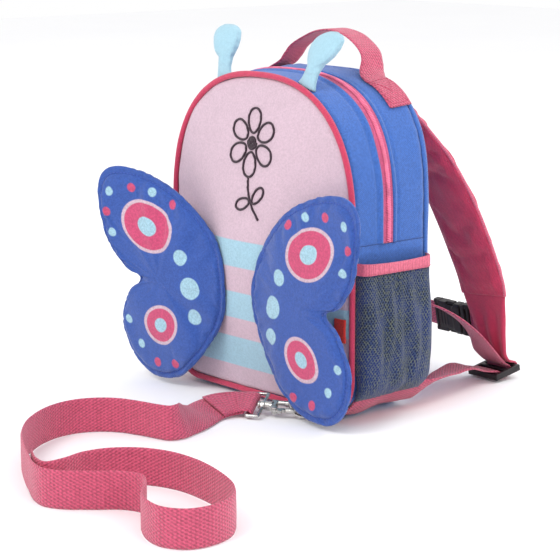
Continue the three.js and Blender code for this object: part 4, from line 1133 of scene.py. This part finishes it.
# Half thickness of the padding, by share of the way from the middle to the rim, with the sewn line near it
PROFILE = [
    (1.0, 0.0), (0.997, 0.22), (0.99, 0.42), (0.975, 0.58), (0.962, 0.52), (0.952, 0.34), (0.942, 0.32),
    (0.93, 0.46), (0.91, 0.66), (0.88, 0.8), (0.83, 0.89), (0.75, 0.95), (0.64, 0.98),
    *((share, 1.0) for share in (0.5, 0.36, 0.22, 0.1, 0.0)),
]


def wing(side, flare, word):
    """Two padded faces sewn together near the rim."""
    rim = curve([(a, b, 0) for a, b in WING], span(0, 1, 221)[:-1], True, True)[:, :2]
    heart = np.array([0.5, 0.49])
    arc = lengths(rim * [SPAN, HIGH])
    faces, uvs, sewn = [], [], []
    for sign in (-1, 1):
        points = np.zeros((len(rim), len(PROFILE), 3))
        uv = np.zeros((len(rim), len(PROFILE), 2))
        for i, r in enumerate(rim):
            wave = math.sin(arc[i] / 3.4 + 2.2 * math.sin(arc[i] / 19) + sign)
            for j, (share, half) in enumerate(PROFILE):
                q = heart + (r - heart) * share
                p = wing_surface(max(q[0], 0), q[1], flare)
                pucker = 0.11 * wave * bell(share, 0.9, 0.05)
                crease_by = 0.16 * ripple(p, 22, 11.0 + sign) * (1 - share**6)
                p[1] += sign * PADDING * max(half * (1 + crease_by) + pucker * (half > 0), 0)
                points[i, j] = p * [side, 1, 1]
                uv[i, j] = q * [SPAN, HIGH]
        faces.append(points)
        uvs.append(np.concatenate([uv, uv[:1]]))
    b = Build().grid(faces[0], uvs[0], True).grid(faces[1], uvs[1], True)
    o = b.done(f"wing_{word}_cloth", wing_cloth, "wing_blue_cloth", f"wing_{word}")
    lines = {tuple(np.round(p, 2)) for f in faces for col in (0, 5, 6) for p in f[:, col]}
    inner = {tuple(np.round(p, 2)) for p in faces[1][:, 7:].reshape(-1, 3) if abs(p[0]) < 48}
    held = lines | inner
    puff(o, lambda p: np.array([float(tuple(np.round(q, 2)) in held) for q in p]), 3.5, 12, 1.6, 0.03)
    rows = []
    for points, out in zip(faces, (-1, 1)):
        line = (points[:, 5] + points[:, 6]) / 2
        line = np.concatenate([line, line[:1]])
        rows.append((line, np.repeat([[0, out, 0]], len(line), 0)))
    stitches(f"wing_{word}_stitches", rows, blue_thread, "wing_blue_cloth", pitch=3.1, long=2.3, radius=0.3)


wing(1, 2, "right")
wing(-1, 30, "left")

# Side pockets
def pocket_off(t, up):
    """How far the net stands off the bag."""
    ends_in = 1 - abs(2 * ((t - POCKET["end"]) / 0.94) - 1) ** 14
    body = mix(POCKET["belly"], POCKET["stand"], float(smooth((up - 0.55) / 0.45)))
    foot = 1 - (1 - min(up / 0.45, 1)) ** 3
    fold = 0.5 * math.cos(t * 6 * TAU) * math.sin(math.pi * up)
    seat = 3.1 * (1 - float(smooth((up - 0.12) / 0.14)))
    return GAP + seat + (body * foot + fold) * max(ends_in, 0) ** 0.7


def gathers(t):
    return math.sin(TAU * t * 17 + 2 * math.sin(t * 9))


def pocket(side, word):
    """The slack net with gathered edges, its elastic binding and the binding's stitches."""
    start = POCKET["end"]
    cols = runs((start, 0.1, 8), (0.12, 0.88, 46), (0.9, 1 - start, 8))
    ups = span(0, 1, 44)

    def spot(t, up, extra):
        height = mix(POCKET["bottom"], POCKET["top"] - GAP, up)
        slack = math.sin(math.pi * min(max(up, 0), 1)) ** 0.6
        lean = slack * (1.5 * math.sin(TAU * (t * 3.7 + up * 0.8) + 2.1) + 0.5 * math.sin(TAU * (t * 8 - up)))
        tight = 0.55 * gathers(t) * (bell(up, 1, 0.12) + 0.8 * bell(up, 0, 0.1))
        inside = 4 * (t - start) * (1 - start - t) / 0.88
        return on_bag(t, side, side_share(t, height), pocket_off(t, up) + extra + (lean + tight) * inside)

    outer = np.array([[spot(t, up, 1.0) for up in ups] for t in cols])
    inner = np.array([[spot(t, up, 0.2) for up in ups] for t in cols])
    run = lengths(outer[:, 22])
    uv = grid_uv(run[:, None], ups * 95)
    slab(outer, inner, uv).done(f"pocket_{word}_net", net_cloth, "mesh", f"side_pocket_{word}")
    vs = span(0, 1, 9)

    def edge_spot(t, v, extra):
        dip = -1.5 * math.sin(math.pi * t) * v
        height = POCKET["top"] + 0.1 + v * POCKET["binding"] + dip
        roll_in = 0.45 * (1 - (2 * v - 1) ** 4)
        tight = 0.28 * gathers(t) * (1 - 0.5 * v)
        off = pocket_off(t, 1) + extra + (roll_in + tight) * (extra > 0.5)
        return on_bag(t, side, side_share(t, height), off)

    outer = np.array([[edge_spot(t, v, 1.3) for v in vs] for t in cols])
    inner = np.array([[edge_spot(t, v, 0.05) for v in vs] for t in cols])
    uv = grid_uv(vs * POCKET["binding"], outer[:, :, 1])
    slab(outer, inner, uv).done(
        f"binding_{word}_tape", coral_cloth, "coral_binding", f"pocket_binding_{word}")
    n = normals_of(outer)
    n *= math.copysign(1, n[30, 4, 0] * side)
    stitches(f"binding_{word}_stitches", [(outer[:, 1] + n[:, 1] * 0.1, n[:, 1])], pink_thread,
             "coral_binding", pitch=2.8, long=2.0, radius=0.25)


pocket(1, "right")
pocket(-1, "left")

# Shoulder straps
# Columns: out, behind the back panel, height, width, thickness
STRAP = [(37, 0, 224, 44, 3.4), (37, 4, 223.8, 46, 4.4), (40.5, 19, 214, 50, 8), (45.5, 33, 198, 50, 7.4),
         (50.5, 47, 180, 50, 8), (55.5, 62, 155, 50, 8), (59.5, 75, 128, 50, 8), (62, 87, 101, 49, 8),
         (64, 95, 80, 47, 7), (65, 97.8, 68, 45, 3.6)]
STRAP_END = [(65, 97.2, 70.5, 44.6, 1.8), (65, 97.9, 67.5, 44.5, 3.0), (66.3, 101.5, 50, 38, 3),
             (67, 105, 34, 31, 2.8), (67, 110, 21, 24, 2.4)]
# Columns: run along the strap, depth, half width and slant of each cross fold; a run below 0 is from the end
FOLDS = [(24, 2.4, 4, 9), (46, 1.9, 5, -12), (84, 1.2, 7, 14), (-34, 1.3, 6, -8)]
LOCK = {"at": np.array([66.5, 149.5, 6.2]), "tilt": math.radians(10), "half": 13.5, "bar": 2.5}


def in_lock(u, w):
    """A place in the ladder lock's own frame."""
    c, s = math.cos(LOCK["tilt"]), math.sin(LOCK["tilt"])
    return LOCK["at"] + [0, u * c - w * s, u * s + w * c]


def strap_stations(table):
    return [{"at": (x, BACK_FACE + GAP + y, z), "across": X_AXIS, "wide": wide, "thick": thick}
            for x, y, z, wide, thick in table]


def flip_course(stations, side):
    f = np.array([side, 1, 1])
    return [dict(s, at=np.array(s["at"]) * f, across=np.array(s["across"]) * f) for s in stations]


def strap_side(side, word):
    """A padded shoulder strap with its edge piping in a lighter coral as a painted rim highlight, and its flat end
    round the ladder lock.
    """
    c = course(flip_course(strap_stations(STRAP), side), 9)
    total = c["length"][-1]

    def folds(run, a):
        """Cross folds where the strap bends, and a slack dent near its lower end."""
        move = 0.0
        for at, deep, wide, slant in FOLDS:
            move -= deep * bell(run, at % total + slant * a, wide) * (1 - abs(2 * a) ** 4)
        return move

    b = band(c, padded_section(21), wobble=0.6, seed=13.0 + side, shape=folds)
    o = b.done(f"strap_{word}_cloth", pink_cloth, "pink_cloth", f"shoulder_strap_{word}")
    puff(o, lambda p: ((p[:, 2] < 72) | (p[:, 1] < BACK_FACE + 6)
                       | (np.abs(np.abs(p[:, 0] * side - 37 - (p[:, 1] - BACK_FACE) * 0.28) - 21.5) < 2.2)
                       ).astype(float), 3.0, 10, 1.2, 0.03)
    out = facing(c["normal"][40][1])
    stitches(f"strap_{word}_stitches",
             [along_rows(dict(c, thick=c["thick"] * 0.42), 3, len(c["at"]) - 3, share, face)
              for share in (0.86, -0.86) for face in (out, -out)],
             pink_thread, "pink_cloth", pitch=3.2, long=2.3, radius=0.3)
    # Painted highlight: the piping cords along both edges use the lighter coral cloth to stand for the strap's lit
    # rim.
    for k, share in enumerate((0.5, -0.5)):
        line = c["at"] + c["across"] * (c["wide"] * share)[:, None]
        tube(line, 1.3, 8).done(f"strap_{word}_piping_{k}", coral_cloth, "pink_cloth")
    bar, r = LOCK["half"] - 2, LOCK["bar"] + LIFT
    loop = [(bar - 3.4, r + 2.2), (bar + 0.4, r + 0.3), (bar + r * 0.72, r * 0.78), (bar + r, 0),
            (bar + r * 0.8, -r * 0.78)]
    end = strap_stations(STRAP_END)
    end += [{"at": in_lock(u, w), "across": X_AXIS, "wide": 22, "thick": WEB["thick"]} for u, w in loop]
    c = course(flip_course(end, side), 7)

    def pleats(run, a):
        return 0.9 * math.sin(a * 17 + 0.6) * float(smooth((run - 6) / 22) * smooth((62 - run) / 12))

    band(c, flat_section(25), wobble=0.4, seed=15.0 + side, shape=pleats).done(
        f"strap_end_{word}_cloth", pink_cloth, "pink_webbing", f"strap_end_{word}")


def lower_webbing(side, word):
    """From the bag's lower corner to the ladder lock, through it and up as a loose tail."""
    x = X_AXIS
    stations = []
    for t in (0.07, 0.2, 0.35, 0.5, 0.65, 0.8, 0.93, 1.08):
        at = on_bag(t, 1, 1.5, LIFT + 0.9 * float(smooth((t - 0.6) / 0.3)))
        across = unit(on_bag(t, 1, 1.6) - on_bag(t, 1, 1.4))
        stations.append({"at": at, "across": across, "cup": WEB["wide"] ** 2 / (8 * corner(t))})
    stations += [{"at": p, "across": a} for p, a in (
        ((87.5, 58, 15.3), (0.92, 0, 0.4)), ((81, 80, 17), (0.99, 0, 0.1)), ((75, 104, 17.3), x))]
    over, half = LOCK["bar"] + WEB["thick"] / 2, LOCK["half"]
    for u, w in ((-half - 7, over + 4.4), (-half + 1.6, over + 0.9), (-half + 5, over), (-half + 8.6, 1),
                 (-2.2, -1.1), (1, -1.4), (4.2, -1), (6.1, 1.1), (5.2, 3.6), (2.2, 5.8)):
        stations.append({"at": in_lock(u, w), "across": x})
    stations += [{"at": p, "across": a} for p, a in (
        ((69.5, 139, 20.5), x), ((78, 124, 32), (0.95, -0.3, 0.1)), ((81.5, 108, 46), (0.88, -0.45, 0.14)),
        ((78, 95, 57.5), (0.8, -0.58, 0.18)), ((69.5, 84, 65.5), (0.74, -0.64, 0.19)),
        ((58, 73, 70), (0.72, -0.66, 0.2)))]
    c = course(flip_course(stations, side), 7)
    if side < 0:
        c["cup"] = -c["cup"]
    band(c, flat_section(11), wobble=0.2, seed=17.0).done(
        f"lower_webbing_{word}_band", webbing, "pink_webbing", f"lower_webbing_{word}")


for side, word in ((1, "right"), (-1, "left")):
    strap_side(side, word)
    lower_webbing(side, word)

# Chest strap
CHEST = {"height": 42.5, "back": 146.2, "tilt": math.radians(12), "wide": 20.0, "free": 0.62}


def in_chest(x, out=0.0, up=0.0):
    """A place in the chest strap's own frame: along it, away from the child's back, up."""
    c, s = math.cos(CHEST["tilt"]), math.sin(CHEST["tilt"])
    return np.array([x, CHEST["back"] + out * c - up * s, CHEST["height"] + out * s + up * c])


upright = in_chest(0, 0, 1) - in_chest(0)
for word, first, last, sag in (("right", 44.3, 78, 0), ("left", 6.7, -78, 2.2)):
    stations = []
    for share in span(0, 1, 7):
        slack = sag * math.sin(math.pi * min(share / CHEST["free"], 1))
        stations.append({"at": in_chest(mix(first, last, share), slack), "across": upright, "wide": CHEST["wide"]})
    c = course(stations, 7)
    band(c, flat_section(11), wobble=0.25).done(
        f"chest_{word}_webbing", webbing, "pink_webbing", f"chest_strap_{word}")
    face = facing(c["normal"][20][1])
    ends = len(c["at"])
    stitches(f"chest_{word}_stitches",
             [across_rows(c, ends - k, face) for k in (3, 12)]
             + [along_rows(c, ends - 12, ends - 2, share, face) for share in (0.78, -0.78)],
             pink_thread, "pink_webbing", pitch=2.6, long=2.0, radius=0.25)


def remesh(o, voxel):
    m = o.modifiers.new("Remesh", "REMESH")
    m.mode, m.voxel_size = "VOXEL", voxel * MM


def settled(o, material, rounds):
    """Softens a piece's edges and keeps what its modifiers make of it."""
    m = o.modifiers.new("Smooth", "SMOOTH")
    m.factor, m.iterations = 0.5, rounds
    made = bpy.data.meshes.new_from_object(o.evaluated_get(bpy.context.evaluated_depsgraph_get()))
    o.modifiers.clear()
    o.data = made
    dress(made, material)


def refined(name, node, material, voxel, body="bag", rounds=4):
    """A hard piece made again from its own solid with softly rounded edges."""
    o = place(name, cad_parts[node].data.copy(), material, node, body)
    remesh(o, voxel)
    settled(o, material, rounds)


for word in ("right", "left"):
    refined(f"lock_{word}_moulding", f"ladder_lock_{word}", black_plastic, 0.45)


def blocks(name, parts):
    """Boxes given by middle and size in the chest strap's frame."""
    bm = bmesh.new()
    for middle, size in parts:
        for v in bmesh.ops.create_cube(bm, size=1.0)["verts"]:
            v.co = Vector(in_chest(*(m + c * d for m, c, d in zip(middle, v.co, size)))) * MM
    mesh = bpy.data.meshes.new(name)
    bm.to_mesh(mesh)
    bm.free()
    return mesh


def moulding(name, node, parts, cuts=(), voxel=0.42):
    """A moulded buckle half from rounded blocks, less its cuts."""
    o = place(name, blocks(name, parts), black_plastic, node)
    tool = bpy.data.objects.new(name + "_cuts", blocks(name + "_cuts", cuts))
    bpy.context.scene.collection.objects.link(tool)
    remesh(o, voxel)
    if cuts:
        cut = o.modifiers.new("Cut", "BOOLEAN")
        cut.operation, cut.object, cut.solver = "DIFFERENCE", tool, "EXACT"
        remesh(o, voxel)
    settled(o, black_plastic, 5)
    bpy.data.objects.remove(tool)


moulding("buckle_socket_moulding", "chest_buckle_socket", [
    ((23.5, 0, 0), (24, 7.4, 25.6)), ((22, 0, 0), (20, 8.0, 17)), ((8.4, 0, 0), (2.8, 5.4, 26.6)),
    ((9.6, 0, 12), (6, 5.4, 2.8)), ((9.6, 0, -12), (6, 5.4, 2.8)),
    *(((x, 0, 0), (1.1, 8.9, 13)) for x in (15, 18, 21)), ((31.5, 0, 0), (7.6, 8.6, 22)),
], [((24.8, 0, 13.6), (9, 12, 6.4)), ((24.8, 0, -13.6), (9, 12, 6.4))])
moulding("buckle_plug_moulding", "chest_buckle_plug", [
    ((38.2, 0, 0), (3.8, 7.6, 25.6)), ((42.6, 0, 0), (2.8, 5.4, 26.6)),
    ((40.4, 0, 12), (6, 5.4, 2.8)), ((40.4, 0, -12), (6, 5.4, 2.8)),
    *(((24.8, 0, side * 12), (7.6, 4.2, 2.6)) for side in (1, -1)),
])
refined("zip_slider_casting", "zip_slider", pink_plastic, 0.3)
refined("ring_wire", "d_ring", metal, 0.22)
refined("eye_casting", "hook_eye", metal, 0.25)
refined("hook_casting", "snap_hook", metal, 0.22, "hook")
refined("gate_casting", "snap_gate", metal, 0.18, "gate")
refined("tab_webbing", "ring_tab", black_web, 0.3, rounds=2)

# Floor and light
floor_material = Material("floor")
pale = floor_material.mix(floor_material.noise(400, 2.0), rgb(252, 252, 253), rgb(248, 248, 250))
floor_material.finish(pale, 0.9, floor_material.bump(floor_material.noise(4, 2.0), 0.05))
mesh = bpy.data.meshes.new("floor")
mesh.from_pydata([(-4, -4, 0), (4, -4, 0), (4, 4, 0), (-4, 4, 0)], [], [(0, 1, 2, 3)])
mesh.materials.append(floor_material.made)
floor = bpy.data.objects.new("floor", mesh)
floor.location.z = -0.0002
bpy.context.scene.collection.objects.link(floor)

world = bpy.data.worlds.new("world")
world.use_nodes = True
world.node_tree.nodes["Background"].inputs[0].default_value = (1, 1, 1, 1)
world.node_tree.nodes["Background"].inputs[1].default_value = 1.0
bpy.context.scene.world = world
bpy.context.scene.view_settings.view_transform = "Standard"


def lamp(name, place_at, size, power):
    data = bpy.data.lights.new(name, "AREA")
    data.shape, data.size, data.energy = "DISK", size, power
    o = bpy.data.objects.new(name, data)
    o.location = place_at
    o.rotation_euler = (Vector((0, 0, 0.1)) - Vector(place_at)).to_track_quat("-Z", "Y").to_euler()
    bpy.context.scene.collection.objects.link(o)


lamp("key", (0.2, -1.6, 1.6), 1.0, 18)
lamp("fill", (1.9, -0.2, 0.9), 1.2, 6)
lamp("back", (0.5, 1.7, 1.5), 1.2, 20)
